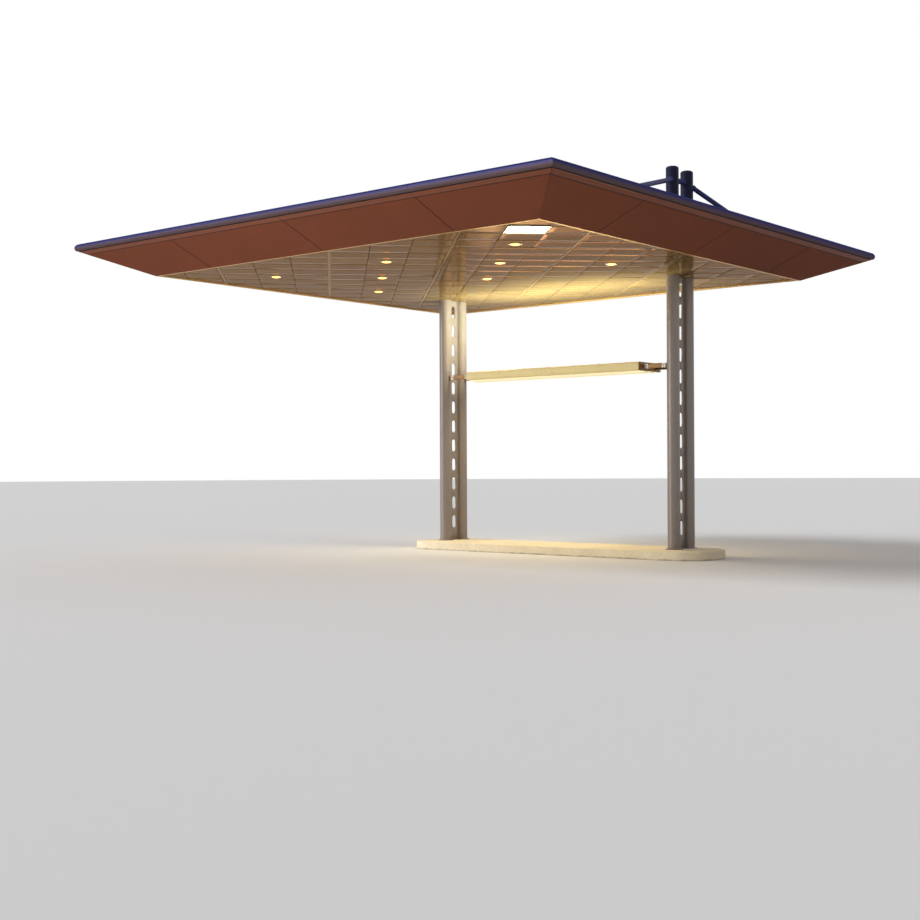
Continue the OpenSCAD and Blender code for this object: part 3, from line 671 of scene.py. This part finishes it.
class CANOPY_OT_masts(bpy.types.Operator):
    """Turns the four mast tubes and their domed heads over the roof"""

    bl_idname = "canopy.masts"
    bl_label = "Masts"

    def execute(self, context):
        s = sizes()
        r, top = s.tube_r, s.mast_top
        edge, dome, bead = 0.02, 0.04, 0.0015
        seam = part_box("mast_collars")[1].z - 0.015
        tube = [(0, 0), (r, 0), (r, edge), (r, seam - edge), (r, seam), (0, seam)]
        head = [(0, seam), (r, seam), (r, seam + edge), (r, top - 0.075), (r, top - 0.043),
                (r + bead, top - 0.042), (r + bead, top - dome)]
        head += arc(r - dome, top - dome, dome, 10, 80, 7) + [(r * 0.4, top), (0, top + 0.001)]
        for _, _, name, place in mast_places():
            turned_piece(f"{name}_mast_tube", "mast_silver", "mast_paint", tube, [place], [f"{name}_mast"],
                         steps=72)
            # The head over the roof takes the painted shade finish
            turned_piece(f"{name}_mast_head", "head_painted_shade", "roof_metal", head, [place], steps=72)
        return {"FINISHED"}


class CANOPY_OT_web_plates(bpy.types.Operator):
    """Cuts the slotted web plates and lays their weld beads along the tubes"""

    bl_idname = "canopy.web_plates"
    bl_label = "Web plates"

    def execute(self, context):
        s = sizes()
        low, high = (corner.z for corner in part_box("left_web_plate"))
        into_tube, right_angle, edge_r = 0.004, 1.2, 0.0015
        half = s.tube_y - s.tube_r + into_tube
        rise = (s.slot_h - s.slot_w) / 2
        outlines = [[(-half, low), (half, low), (half, high), (-half, high)]]
        for i in range(s.slots):
            z = s.slot_top - s.slot_h / 2 + i * s.slot_pitch
            outlines.append(arc(0, z + rise, s.slot_w / 2, 0, 180, 12)
                            + arc(0, z - rise, s.slot_w / 2, 180, 360, 12))
        bead, weld_gap, apart = 0.0045, 0.01, s.web_t / 2 + 0.001
        weld = [(0, 0), (bead, 0), (bead, high - low - weld_gap), (0, high - low - weld_gap)]
        touch = s.tube_y - 0.001 - math.sqrt(s.tube_r ** 2 - (s.web_t / 2 + 0.003) ** 2)
        for sx, side in SIDES:
            bm = bmesh.new()
            for outline in outlines:
                verts = [bm.verts.new((sx * s.mast_x - s.web_t / 2, y, z)) for y, z in outline]
                for pair in zip(verts, verts[1:] + verts[:1]):
                    bm.edges.new(pair)
            bmesh.ops.triangle_fill(bm, use_beauty=True, edges=bm.edges[:])
            push(bm, bmesh.ops.extrude_face_region(bm, geom=bm.faces[:]), (s.web_t, 0, 0))
            bmesh.ops.recalc_face_normals(bm, faces=bm.faces)
            sharp = [e for e in bm.edges if e.is_manifold and e.calc_face_angle(0) > right_angle]
            soften(bm, sharp, edge_r)
            finish_piece(bm, f"{side}_slotted_web", "mast_silver", [f"{side}_web_plate"])
            places = [Matrix.Translation((sx * s.mast_x + x, y, low + weld_gap))
                      for y, x in corners(touch, apart)]
            turned_piece(f"{side}_web_welds", "mast_silver", "mast_paint", weld, places, steps=10)
        return {"FINISHED"}


class CANOPY_OT_mast_feet(bpy.types.Operator):
    """Sets a base ring and a seal where each tube enters the island"""

    bl_idname = "canopy.mast_feet"
    bl_label = "Mast feet"

    def execute(self, context):
        r = sizes().tube_r
        ring = around(r, [(-0.002, 0), (0.03, 0), (0.031, 0.006), (0.028, 0.010), (0.010, 0.012),
                          (0.004, 0.022), (-0.002, 0.023)])
        seal = around(r, [(0.028, -0.002), (0.040, -0.002), (0.039, 0.003), (0.034, 0.0055), (0.029, 0.004)])
        places = [row[3] for row in mast_places(ISLAND[1].z)]
        turned_piece("mast_base_rings", "mast_silver", "mast_paint", ring, places, steps=64)
        turned_piece("mast_base_seals", "seal_black", "mast_paint", seal, places, steps=64)
        return {"FINISHED"}


class CANOPY_OT_stays(bpy.types.Operator):
    """Makes the stays with their welded collars, bolted feet and fins, and the spacers"""

    bl_idname = "canopy.stays"
    bl_label = "Stays"

    def execute(self, context):
        s = sizes()
        shoe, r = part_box("stay_shoes"), s.stay_r
        top, inset = shoe[1].z, s.foot_w / 2
        plate_t, pad_w, pad_t, pad_z, hole, soft = 0.022, 0.20, 0.05, -0.04, 0.095, 0.003
        fin_t, fin_reach, fin_h, into_tube = 0.012, 0.105, 0.055, 0.02
        feet, places = bmesh.new(), []
        for sx, sy, name, place in mast_places(s.stay_top):
            start = place.translation
            end = Vector((sx * s.anchor_x, shoe[0].y + inset if sy < 0 else shoe[1].y - inset, top))
            run, out = (end - start).length, (end - start).normalized()
            flat = math.hypot(out.x, out.y)
            a, b = s.tube_r / flat - into_tube, s.tube_r / flat + into_tube
            collar = around(r, [(0.010, a), (0.010, b), (0.006, b + 0.006), (0, b + 0.012), (0, b + 0.03)])
            tube = [(0, a)] + collar + [(r, run - 0.02), (r, run), (0, run)]
            turned_piece(f"{name}_stay_tube", "stay_paint_and_skylight", "stay_paint", tube, [facing(start, end - start)],
                         [f"{name}_stay"])
            block(feet, (s.foot_w, s.foot_w, plate_t), (end.x, end.y, top - plate_t / 2), soft)
            block(feet, (pad_w, pad_w, pad_t), (end.x, end.y, top + pad_z), soft)
            slant = 0.6 * fin_reach * abs(out.z) / flat + fin_t
            fin = [(-0.02, 0), (fin_reach, 0), (fin_reach, slant), (0, fin_h)]
            between(feet, *([(x, y, z) for x, z in fin] for y in (-fin_t / 2, fin_t / 2)),
                    Matrix.Translation(end) @ Matrix.Rotation(math.atan2(-out.y, -out.x), 4, "Z"))
            places += [facing((end.x + dx, end.y + dy, top), (0, 0, 1), 0.3 + dx)
                       for dx, dy in corners(hole, hole)]
        finish_piece(feet, "stay_feet", "stay_paint_and_skylight", ["stay_shoes"])
        bolt_piece("stay_foot_bolts", s.bolt, places)
        half, r = s.tube_y - s.tube_r + into_tube, 0.045
        near = around(r, [(0.008, 0), (0.008, 0.026), (0, 0.034)])
        spacer = [(0, 0)] + near + [(out, 2 * half - up) for out, up in near[::-1]] + [(0, 2 * half)]
        places = [facing((x, -half, s.stay_top), (0, 1, 0)) for x in (-s.mast_x, s.mast_x)]
        turned_piece("mast_spacers", "stay_paint_and_skylight", "mast_paint", spacer, places, ["mast_links", "mast_caps"],
                     steps=40)
        return {"FINISHED"}


class CANOPY_OT_light_bar(bpy.types.Operator):
    """Builds the light bar's rails, ends, clips and diffusers"""

    bl_idname = "canopy.light_bar"
    bl_label = "Light bar"

    def execute(self, context):
        s = sizes()
        low, high = BAR
        end_t, edge_r, groove, inset, gap, end_bolt = 0.012, 0.015, 0.003, 0.030, 0.001, 0.013
        x0, x1, h = low.x + end_t, high.x - end_t, high.z - low.z
        outline = arc(edge_r, edge_r, edge_r, 270, 180, 6)
        for z in (inset, h - inset):
            outline += [(0, z - groove), (groove, z - groove / 2), (groove, z + groove / 2), (0, z + groove)]
        outline += arc(edge_r, h - edge_r, edge_r, 180, 90, 6) + [(s.rail_t, h), (s.rail_t, 0)]
        for sy, row in ROWS:
            bm = bmesh.new()
            section = [(sy * (-low.y - y), low.z + z) for y, z in outline]
            drawn_out(bm, section, x0, -gap)
            drawn_out(bm, section, gap, x1)
            finish_piece(bm, f"bar_{row}_rail", "bar_cream",
                         [f"light_bar_{row}_rail"], smooth=30)
        ends, clips, places = bmesh.new(), bmesh.new(), []
        for sx in (-1, 1):
            at = (sx * (high.x - end_t / 2), 0, (low.z + high.z) / 2)
            block(ends, (end_t, high.y - low.y, h), at, 0.003)
            places += [facing((sx * high.x, y, low.z + z), (sx, 0, 0), 0.4)
                       for y in (-0.3, -0.12, 0.12, 0.3) for z in (inset, h - inset)]
        finish_piece(ends, "bar_end_plates", "bracket_bronze", ["light_bar_ends"])
        clip_w, clip_d, clip_t, tongue_h, soft, spacing = 0.045, 0.034, 0.004, 0.020, 0.001, 0.58
        count = round((x1 - x0) / spacing)
        for i in range(count):
            x = x0 + (x1 - x0) * (i + 0.5) / count
            for sy in (-1, 1):
                y, tongue = sy * (high.y - 0.024), sy * (high.y - s.rail_t - clip_t / 2)
                block(clips, (clip_w, clip_d, clip_t), (x, y, high.z + clip_t / 2), soft)
                block(clips, (clip_w, clip_t, tongue_h), (x, tongue, high.z + clip_t - tongue_h / 2), soft)
                block(clips, (clip_w, clip_d, clip_t), (x, y, low.z - clip_t / 2), soft)
        finish_piece(clips, "bar_clips", "rim_metal")
        bolt_piece("bar_end_bolts", end_bolt, places)
        lengths, steps = 3, 12
        for name, way, bulge in (("upper", "up", 0.006), ("lower", "down", -0.045)):
            a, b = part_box(f"light_bar_{name}_diffuser")
            back, face = (a.z, b.z) if bulge > 0 else (b.z, a.z)
            section = [(a.y, back), (b.y, back)]
            section += [(b.y + (a.y - b.y) * k / steps, face + bulge * math.sin(math.pi * k / steps))
                        for k in range(steps + 1)]
            bm = bmesh.new()
            part = (b.x - a.x) / lengths
            for i in range(lengths):
                drawn_out(bm, section, a.x + part * i + gap, a.x + part * (i + 1) - gap)
            finish_piece(bm, f"bar_{name}_glass", f"tube_light_{way}",
                         [f"light_bar_{name}_diffuser"])
        return {"FINISHED"}


class CANOPY_OT_light_brackets(bpy.types.Operator):
    """Makes the channel arms, end plates, mast blocks and bolts that carry the light bar"""

    bl_idname = "canopy.light_brackets"
    bl_label = "Light brackets"

    def execute(self, context):
        s = sizes()
        z, h = (BAR[0].z + BAR[1].z) / 2, s.arm_h
        x0, x1 = BAR[1].x, s.mast_x - s.tube_r
        web_t, flange_w, flange_in, soft, arm_bolt = 0.008, 0.046, 0.020, 0.002, 0.018
        plate_t, plate_w, plate_over, shoe_w, shoe_t, shoe_over = 0.010, 0.13, 0.040, 0.030, 0.016, 0.010
        plate_holes, arm_holes = corners(0.048, 0.045), corners(0.0175, 0.022)
        for sx, side in SIDES:
            arms, places = bmesh.new(), []
            for sy in (-1, 1):
                x, y = sx * (x0 + x1) / 2, sy * s.tube_y
                block(arms, (x1 - x0, web_t, h), (x, y, z), soft)
                for edge in (-1, 1):
                    at = (x, y - sy * flange_in, z + edge * (h - web_t) / 2)
                    block(arms, (x1 - x0, flange_w, web_t), at, soft)
                block(arms, (plate_t, plate_w, h + plate_over), (sx * (x0 + plate_t / 2), y, z), soft)
                block(arms, (shoe_w, shoe_t, h + shoe_over), (sx * (x1 + 0.004), y, z), 0.003)
                places += [facing((sx * (x0 + plate_t), y + dy, z + dz), (sx, 0, 0), 0.2)
                           for dy, dz in plate_holes]
                for at, spin in ((x1 - 0.0725, 0.5), (x0 + 0.0825, 0.1)):
                    places += [facing((sx * (at + dx), y + sy * web_t / 2, z + dz), (0, sy, 0), spin)
                               for dx, dz in arm_holes]
            finish_piece(arms, f"{side}_bar_arms", "bracket_bronze",
                         [f"{side}_light_bracket"])
            bolt_piece(f"{side}_arm_bolts", arm_bolt, places)
        return {"FINISHED"}


def panel_sheet(w, d, lit):
    """A flat ceiling panel, with a round hole where a downlight goes through."""
    part = bmesh.new()
    if not lit:
        bmesh.ops.create_grid(part, x_segments=6, y_segments=6, size=0.5)
        bmesh.ops.scale(part, vec=(w, d, 1), verts=part.verts)
        return part
    bmesh.ops.create_circle(part, segments=32, radius=sizes().lens_r + 0.008)
    for v in bmesh.ops.create_circle(part, segments=32, radius=1.0)["verts"]:
        v.co *= 0.5 / max(abs(v.co.x), abs(v.co.y))
        v.co.x *= w
        v.co.y *= d
    bmesh.ops.bridge_loops(part, edges=part.edges[:])
    spokes = [e for e in part.edges if not e.is_boundary]
    bmesh.ops.subdivide_edges(part, edges=spokes, cuts=3, use_grid_fill=False)
    return part


class CANOPY_OT_ceiling(bpy.types.Operator):
    """Lays the ceiling panels, each a little dished and tilted, and trims them at the lip"""

    bl_idname = "canopy.ceiling"
    bl_label = "Ceiling panels"

    def execute(self, context):
        s = sizes()
        chance = random.Random(7)
        bay, d = 3 * s.panel, s.panel - s.panel_joint
        margin, beyond, fold_h, fold_r = 0.058, 0.4, 0.018, 0.0025
        lights = {(3 * i, 3 * j) for i, j in LIGHT_CELLS}
        for i in range(-3, 4):
            bm = bmesh.new()
            for c in (-1, 0, 1):
                left = i * bay + (c - 0.5) * s.panel + s.panel_joint / 2
                right = i * bay + (c + 0.5) * s.panel - s.panel_joint / 2
                if c == -1:
                    left += (s.runner_w + s.panel_joint) / 2
                if c == 1:
                    right -= (s.runner_w + s.panel_joint) / 2
                for j in range(-12, 13):
                    place = on_grid((left + right) / 2, j * s.panel, s.ceiling_z)
                    near = all(LIP[0][k] - beyond < place.translation[k] < LIP[1][k] + beyond for k in (0, 1))
                    if not near or (i, c, j) == (0, 0, CORNER_ROW):
                        continue
                    w = right - left
                    part = panel_sheet(w, d, (3 * i + c, j) in lights)
                    a, b = chance.uniform(-1, 1) * s.panel_tilt, chance.uniform(-1, 1) * s.panel_tilt
                    dish = s.panel_dish * chance.uniform(0.3, 1.0)
                    for v in part.verts:
                        u, t = 2 * v.co.x / w, 2 * v.co.y / d
                        v.co.z = dish * (1 - u * u) * (1 - t * t) + a * u + b * t
                    join(bm, part, place)
            for axis in (Vector((1, 0, 0)), Vector((0, 1, 0))):
                for sign, corner in zip((-1, 1), LIP):
                    trim(bm, corner - sign * margin * axis, sign * axis)
            bmesh.ops.dissolve_degenerate(bm, dist=1e-4, edges=bm.edges[:])
            bmesh.ops.recalc_face_normals(bm, faces=bm.faces)
            if sum(f.normal.z for f in bm.faces) > 0:
                bmesh.ops.reverse_faces(bm, faces=bm.faces)
            rims = [e for e in bm.edges if e.is_boundary]
            push(bm, bmesh.ops.extrude_edge_only(bm, edges=rims), (0, 0, fold_h))
            soften(bm, [e for e in rims if e.is_valid and e.is_manifold], fold_r)
            finish_piece(bm, f"ceiling_panels_{i + 4}", "ceiling_satin",
                         [f"ceiling_bay_{i + 4}"], outward=False)
        return {"FINISHED"}


class CANOPY_OT_downlights(bpy.types.Operator):
    """Turns the downlights' rims and lenses"""

    bl_idname = "canopy.downlights"
    bl_label = "Downlights"

    def execute(self, context):
        s = sizes()
        r, bay = s.lens_r, 3 * s.panel
        rim = around(s.light_r, [(0, 0.004), (0.001, -0.001), (-0.002, -0.0045), (-0.008, -0.006)])
        rim += around(r, [(0.005, -0.0055), (0, -0.002), (-0.004, 0.010), (-0.006, 0.040), (0.008, 0.040),
                          (0.008, 0.004)])
        lens = [(0, 0.012), (r - 0.004, 0.012), (r - 0.004, -0.002), (r * 0.85, -0.009), (r * 0.6, -0.014),
                (r * 0.3, -0.0165), (0, -0.017)]
        places = [Matrix.Translation(on_grid(i * bay, j * bay, s.ceiling_z).translation)
                  for i, j in LIGHT_CELLS]
        turned_piece("downlight_bezels", "rim_metal", "ceiling_metal", rim, places, ["downlight_rims"],
                     closed=True)
        turned_piece("downlight_glasses", "downlight_warm", "warm_light", lens, places, ["downlight_lenses"],
                     steps=40)
        return {"FINISHED"}


class CANOPY_OT_corner_light(bpy.types.Operator):
    """Frames the square luminaire near the corner and closes it above"""

    bl_idname = "canopy.corner_light"
    bl_label = "Corner light"

    def execute(self, context):
        s = sizes()
        place = on_grid(0, CORNER_ROW * s.panel, s.ceiling_z)
        frame_w, lid_t, lid_z, soft = 0.036, 0.010, 0.038, 0.002
        out, inner = s.corner_r, s.corner_r - frame_w
        drop, rise, glass_z, bulge, glass_t, lid_w = 0.005, 0.045, 0.010, 0.006, 0.006, 2 * inner + 0.016
        bezel, lid, glass = bmesh.new(), bmesh.new(), bmesh.new()
        face = [(-out, -out), (out, -out), (inner, -inner), (-inner, -inner)]
        for k in range(4):
            upright(bezel, face, -drop, rise, place @ Matrix.Rotation(k * math.pi / 2, 4, "Z"), soft)
        block(lid, (lid_w, lid_w, lid_t), (0, 0, lid_z), soft)
        join(bezel, lid, place)
        finish_piece(bezel, "corner_light_bezel", "rim_metal", ["corner_light_frame"])
        part = bmesh.new()
        bmesh.ops.create_grid(part, x_segments=12, y_segments=12, size=inner)
        for v in part.verts:
            v.co.z = glass_z - bulge * (1 - (v.co.x / inner) ** 2) * (1 - (v.co.y / inner) ** 2)
        push(part, bmesh.ops.extrude_face_region(part, geom=part.faces[:]), (0, 0, glass_t))
        join(glass, part, place)
        finish_piece(glass, "corner_light_glass", "corner_glow", ["corner_light_panel"])
        return {"FINISHED"}


class CANOPY_OT_soffits(bpy.types.Operator):
    """Lays the sloping soffit panels round the four sides and seals their joints"""

    bl_idname = "canopy.soffits"
    bl_label = "Soffits"

    def execute(self, context):
        s = sizes()
        seal_w, seal_low, seal_t, tuck, short, soft = 0.04, 0.006, 0.006, 0.012, 0.03, 0.002
        seals = bmesh.new()
        for side in sides():
            slant = side.run - s.nosing_d / 2
            k0 = (s.strip_w + s.soffit_joint) / slant
            depths = [s.nosing_d / 2 + k * slant for k in (k0, 1)]
            bm = bmesh.new()
            for left, right in side_lengths(side, depths, s.soffit_joint / 2, s.hip_joint / 2):
                slab(bm, side, k0, 1, left, right, 0, s.soffit_t, soft)
            finish_piece(bm, f"{side.name}_soffit_panels", "soffit_bronze",
                         [f"{side.name}_soffit"])
            # Black seal strips behind the open joints and along the strip's joint; they also give painted
            # shade inside the joints
            for line in joints():
                left, right = [line - seal_w / 2] * 2, [line + seal_w / 2] * 2
                slab(seals, side, s.strip_w / slant, 1, left, right, seal_low, seal_low + seal_t)
            half = side.half - s.strip_w - s.nosing_d / 2 - short
            slab(seals, side, (s.strip_w - tuck) / slant, (s.strip_w + s.soffit_joint + tuck) / slant,
                 [-half] * 2, [half] * 2, seal_low - 0.001, seal_low + seal_t - 0.001)
        finish_piece(seals, "soffit_joint_seals_and_shade", "seal_black")
        return {"FINISHED"}


class CANOPY_OT_edge_strips(bpy.types.Operator):
    """Rolls the strips that carry the roof's round edge down into the soffits"""

    bl_idname = "canopy.edge_strips"
    bl_label = "Edge strips"

    def execute(self, context):
        s = sizes()
        r = s.nosing_d / 2
        under, top = s.nosing_z - r, s.nosing_z - s.nosing_lip - 0.011
        bm = bmesh.new()
        for side in sides():
            y, z = slope(side, s.strip_w / (side.run - r))
            y += side.dist
            outline = [(y, z), (r + 0.004, under - 0.0005)] + edge_arc(0.003, under, top, 8)
            outline += [(r + 0.002, top), (r + 0.002, under + s.soffit_t), (y, z + s.soffit_t)]
            edge_lengths(bm, side, outline, 0.003, s.hip_joint / 2)
        finish_piece(bm, "soffit_edge_strips", "strip_bronze_painted_light", ["edge_strips"], smooth=30)
        return {"FINISHED"}


class CANOPY_OT_nosing(bpy.types.Operator):
    """Rolls the round nosing in lengths with a drip edge, mitred at the corners, and seals its joints"""

    bl_idname = "canopy.nosing"
    bl_label = "Nosing"

    def execute(self, context):
        s = sizes()
        r, low, top = s.nosing_d / 2, s.nosing_z - s.nosing_lip, s.nosing_z + s.nosing_d / 2
        flange, drip_h, sheet, joint = 0.05, 0.004, 0.012, 0.0015
        ledge = s.nosing_z - r + s.soffit_t + 0.001
        rolled = edge_arc(0, low, top, 20)
        x = rolled[0][0]
        outline = [(r + flange, ledge), (r, ledge), (r, low), (x + sheet, low), (x + sheet, low + drip_h),
                   (x + 0.004, low + drip_h), (x + 0.003, low)] + rolled + [(r + flange, top)]
        under, over = s.nosing_z - r + 0.013, low + sheet
        back = edge_arc(sheet, under, over, 4) + [(r + 0.001, over), (r + 0.001, under)]
        seals = bmesh.new()
        for side in sides():
            bm = bmesh.new()
            edge_lengths(bm, side, outline, joint)
            finish_piece(bm, f"{side.name}_round_nosing", "nosing_painted_reflections",
                         [f"{side.name}_nosing"], smooth=30)
            # Black seal strips behind the nosing's joints and the gap above the strip; they also give painted
            # shade in those gaps
            edge_lengths(seals, side, back, 0.0, 0.01)
        finish_piece(seals, "nosing_joint_seals_and_shade", "seal_black")
        return {"FINISHED"}


class CANOPY_OT_roof(bpy.types.Operator):
    """Fits the collars round the masts on the deck, with their bands"""

    bl_idname = "canopy.roof"
    bl_label = "Roof collars"

    def execute(self, context):
        s = sizes()
        low, high = (corner.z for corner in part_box("mast_collars"))
        drop, lug, lug_w = low - high, 0.014, 0.030
        collar = around(s.tube_r, [(0, drop), (0.06, drop), (0.06, -0.13), (0.052, -0.118), (0.012, -0.030),
                                   (0.008, -0.022), (0.006, 0), (0, 0)])
        band = around(s.tube_r, [(0.005, -0.020), (0.010, -0.020), (0.0105, -0.014), (0.010, -0.008),
                                 (0.005, -0.008)])
        places = [row[3] for row in mast_places(high)]
        turned_piece("mast_flashings", "deck_grey", "roof_metal", collar, places, ["mast_collars"], steps=64,
                     closed=True)
        bands = bmesh.new()
        for sx, _, _, place in mast_places(high):
            turned(bands, band, place, steps=64, closed=True)
            at = place.translation + Vector((sx * (s.tube_r + lug), 0, -lug))
            block(bands, (lug, lug_w, lug), at, 0.002)
        finish_piece(bands, "flashing_bands", "zinc_bolt")
        return {"FINISHED"}


class CANOPY_OT_island(bpy.types.Operator):
    """Casts the island in four lengths with softened edges"""

    bl_idname = "canopy.island"
    bl_label = "Island"

    def execute(self, context):
        low, high = ISLAND
        r, h, lengths, gap, edge_r, steep = sizes().island_r, high.z, 4, 0.002, 0.022, 0.8
        w, d = high.x - low.x, high.y - low.y
        cx, cy = (low.x + high.x) / 2, (low.y + high.y) / 2
        outline = []
        for sx, sy, start in ((1, 1, 0), (-1, 1, 90), (-1, -1, 180), (1, -1, 270)):
            outline += arc(cx + sx * (w / 2 - r), cy + sy * (d / 2 - r), r, start, start + 90, 18)
        cuts = [low.x - 1] + [low.x + w * k / lengths for k in range(1, lengths)] + [high.x + 1]
        bm = bmesh.new()
        for a, b in zip(cuts, cuts[1:]):
            part = bmesh.new()
            upright(part, outline, 0, h)
            for x, out in ((a + gap, -1), (b - gap, 1)):
                rim = trim(part, (x, 0, 0), (out, 0, 0))
                if rim:
                    bmesh.ops.edgeloop_fill(part, edges=rim)
            bmesh.ops.remove_doubles(part, verts=part.verts, dist=1e-5)
            bmesh.ops.recalc_face_normals(part, faces=part.faces)
            top = [e for e in part.edges if e.is_manifold and e.calc_face_angle(0) > steep
                   and min(v.co.z for v in e.verts) > h - 0.001]
            soften(part, top, edge_r, 4)
            join(bm, part)
        finish_piece(bm, "island_castings", "island_concrete", ["island"], smooth=30)
        return {"FINISHED"}


def lamp(name, kind, energy, turn, **settings):
    """A lamp turned by angles in degrees."""
    data = bpy.data.lights.new(name, kind)
    data.energy = energy
    for key, value in settings.items():
        setattr(data, key, value)
    holder = put(name, data)
    holder.rotation_euler = [math.radians(a) for a in turn]
    return holder


class CANOPY_OT_stage(bpy.types.Operator):
    """Sets the floor, lamps, world and the camera at the photograph's place"""

    bl_idname = "canopy.stage"
    bl_label = "Stage"

    def execute(self, context):
        bm = bmesh.new()
        bmesh.ops.create_circle(bm, cap_ends=True, segments=96, radius=150)
        mesh = bpy.data.meshes.new("stage_floor")
        bm.to_mesh(mesh)
        bm.free()
        floor = put("stage_floor", mesh)
        floor.location = (0, 0, -0.002)
        tree, shader = finish("stage_floor", Roughness=0.9, Base_Color=(0.80, 0.79, 0.78))
        back, clear = node(tree, "NewGeometry"), node(tree, "BsdfTransparent")
        mix = node(tree, "MixShader", back.outputs["Backfacing"], shader.outputs[0], clear.outputs[0])
        feed(tree, tree.nodes["Material Output"], Surface=mix.outputs[0])
        mesh.materials.append(bpy.data.materials["stage_floor"])

        world = bpy.data.worlds.new("studio")
        context.scene.world = world
        world.use_nodes = True
        tree = world.node_tree
        tree.nodes.clear()
        path = node(tree, "LightPath").outputs
        seen = maths(tree, "MAXIMUM", path["Is Camera Ray"], path["Is Glossy Ray"])
        seen = maths(tree, "MAXIMUM", seen, path["Is Transmission Ray"])
        white = node(tree, "Background", Color=(1, 1, 1), Strength=1.0)
        soft = node(tree, "Background", Color=(0.95, 0.96, 1.0), Strength=0.35)
        mix = node(tree, "MixShader", seen, soft.outputs[0], white.outputs[0])
        node(tree, "OutputWorld", mix.outputs[0])

        lamp("key", "SUN", 1.8, (50, 0, -40), angle=math.radians(25))
        lamp("front", "SUN", 1.2, (88, 0, -38), angle=math.radians(30))
        low, high = BAR
        over, under = high.z + 0.03, low.z - 0.06
        across, deep = high.x - low.x - 0.16, high.y - low.y - 0.12
        for name, energy, colour, at, turn, w, d, spread in (
                ("low_fill", 240, (1.0, 0.93, 0.82), (-1, -9.5, 0.02), (180, 0, 0), 9, 5, 180),
                ("bar_up", 260, (0.88, 1.0, 0.76), (0, 0, over), (180, 0, 0), across, deep, 120),
                ("bar_down", 60, (1.0, 0.85, 0.55), (0, 0, under), (0, 0, 0), across, deep, 150),
                ("bar_side", 38, (0.98, 0.94, 0.76), (-0.7, -0.1, 4.2), (0, 70, 0), 0.9, 0.5, 150)):
            holder = lamp(name, "AREA", energy, turn, color=colour, shape="RECTANGLE", size=w, size_y=d,
                          spread=math.radians(spread))
            holder.location = at
            holder.visible_camera = holder.visible_glossy = False

        pixels, focal, film = 920, 1342.26, 36.0
        camera = bpy.data.cameras.new("camera")
        camera.sensor_width = film
        camera.lens = focal / pixels * film
        camera.clip_start, camera.clip_end = 0.1, 1000
        place = Matrix.Translation((14.2818, -20.1712, 1.5602))
        for axis, degrees in (("Z", 39.552), ("X", 90.301), ("Z", -0.2421)):
            place @= Matrix.Rotation(math.radians(degrees), 4, axis)
        holder = put("camera", camera)
        holder.matrix_world = place
        context.scene.camera = holder
        context.scene.view_settings.view_transform = "Standard"
        return {"FINISHED"}


class CANOPY_PT_panel(bpy.types.Panel):
    """Lists the canopy's steps and sizes"""

    bl_idname = "CANOPY_PT_panel"
    bl_label = "Canopy"
    bl_space_type = "VIEW_3D"
    bl_region_type = "UI"
    bl_category = "Canopy"

    def draw(self, context):
        for step in STEPS:
            self.layout.operator("canopy." + step)
        for values in (context.scene.canopy_sizes, context.scene.canopy_colours):
            box = self.layout.box()
            for name in values.__annotations__:
                box.prop(values, name)


OPERATORS = [CANOPY_OT_finishes, CANOPY_OT_masts, CANOPY_OT_web_plates, CANOPY_OT_mast_feet,
             CANOPY_OT_stays, CANOPY_OT_light_bar, CANOPY_OT_light_brackets, CANOPY_OT_ceiling,
             CANOPY_OT_downlights, CANOPY_OT_corner_light, CANOPY_OT_soffits, CANOPY_OT_edge_strips,
             CANOPY_OT_nosing, CANOPY_OT_roof, CANOPY_OT_island, CANOPY_OT_stage]
STEPS = [each.bl_idname.split(".")[1] for each in OPERATORS]
CLASSES = [CanopySizes, CanopyColours] + OPERATORS + [CANOPY_PT_panel]


def register():
    for each in CLASSES:
        bpy.utils.register_class(each)
    bpy.types.Scene.canopy_sizes = PointerProperty(type=CanopySizes)
    bpy.types.Scene.canopy_colours = PointerProperty(type=CanopyColours)


def unregister():
    del bpy.types.Scene.canopy_sizes
    del bpy.types.Scene.canopy_colours
    for each in reversed(CLASSES):
        bpy.utils.unregister_class(each)


def main():
    """Registers the add-on, then builds every piece and the stage in order."""
    register()
    for step in STEPS:
        getattr(bpy.ops.canopy, step)()


if __name__ == "__main__":
    main()
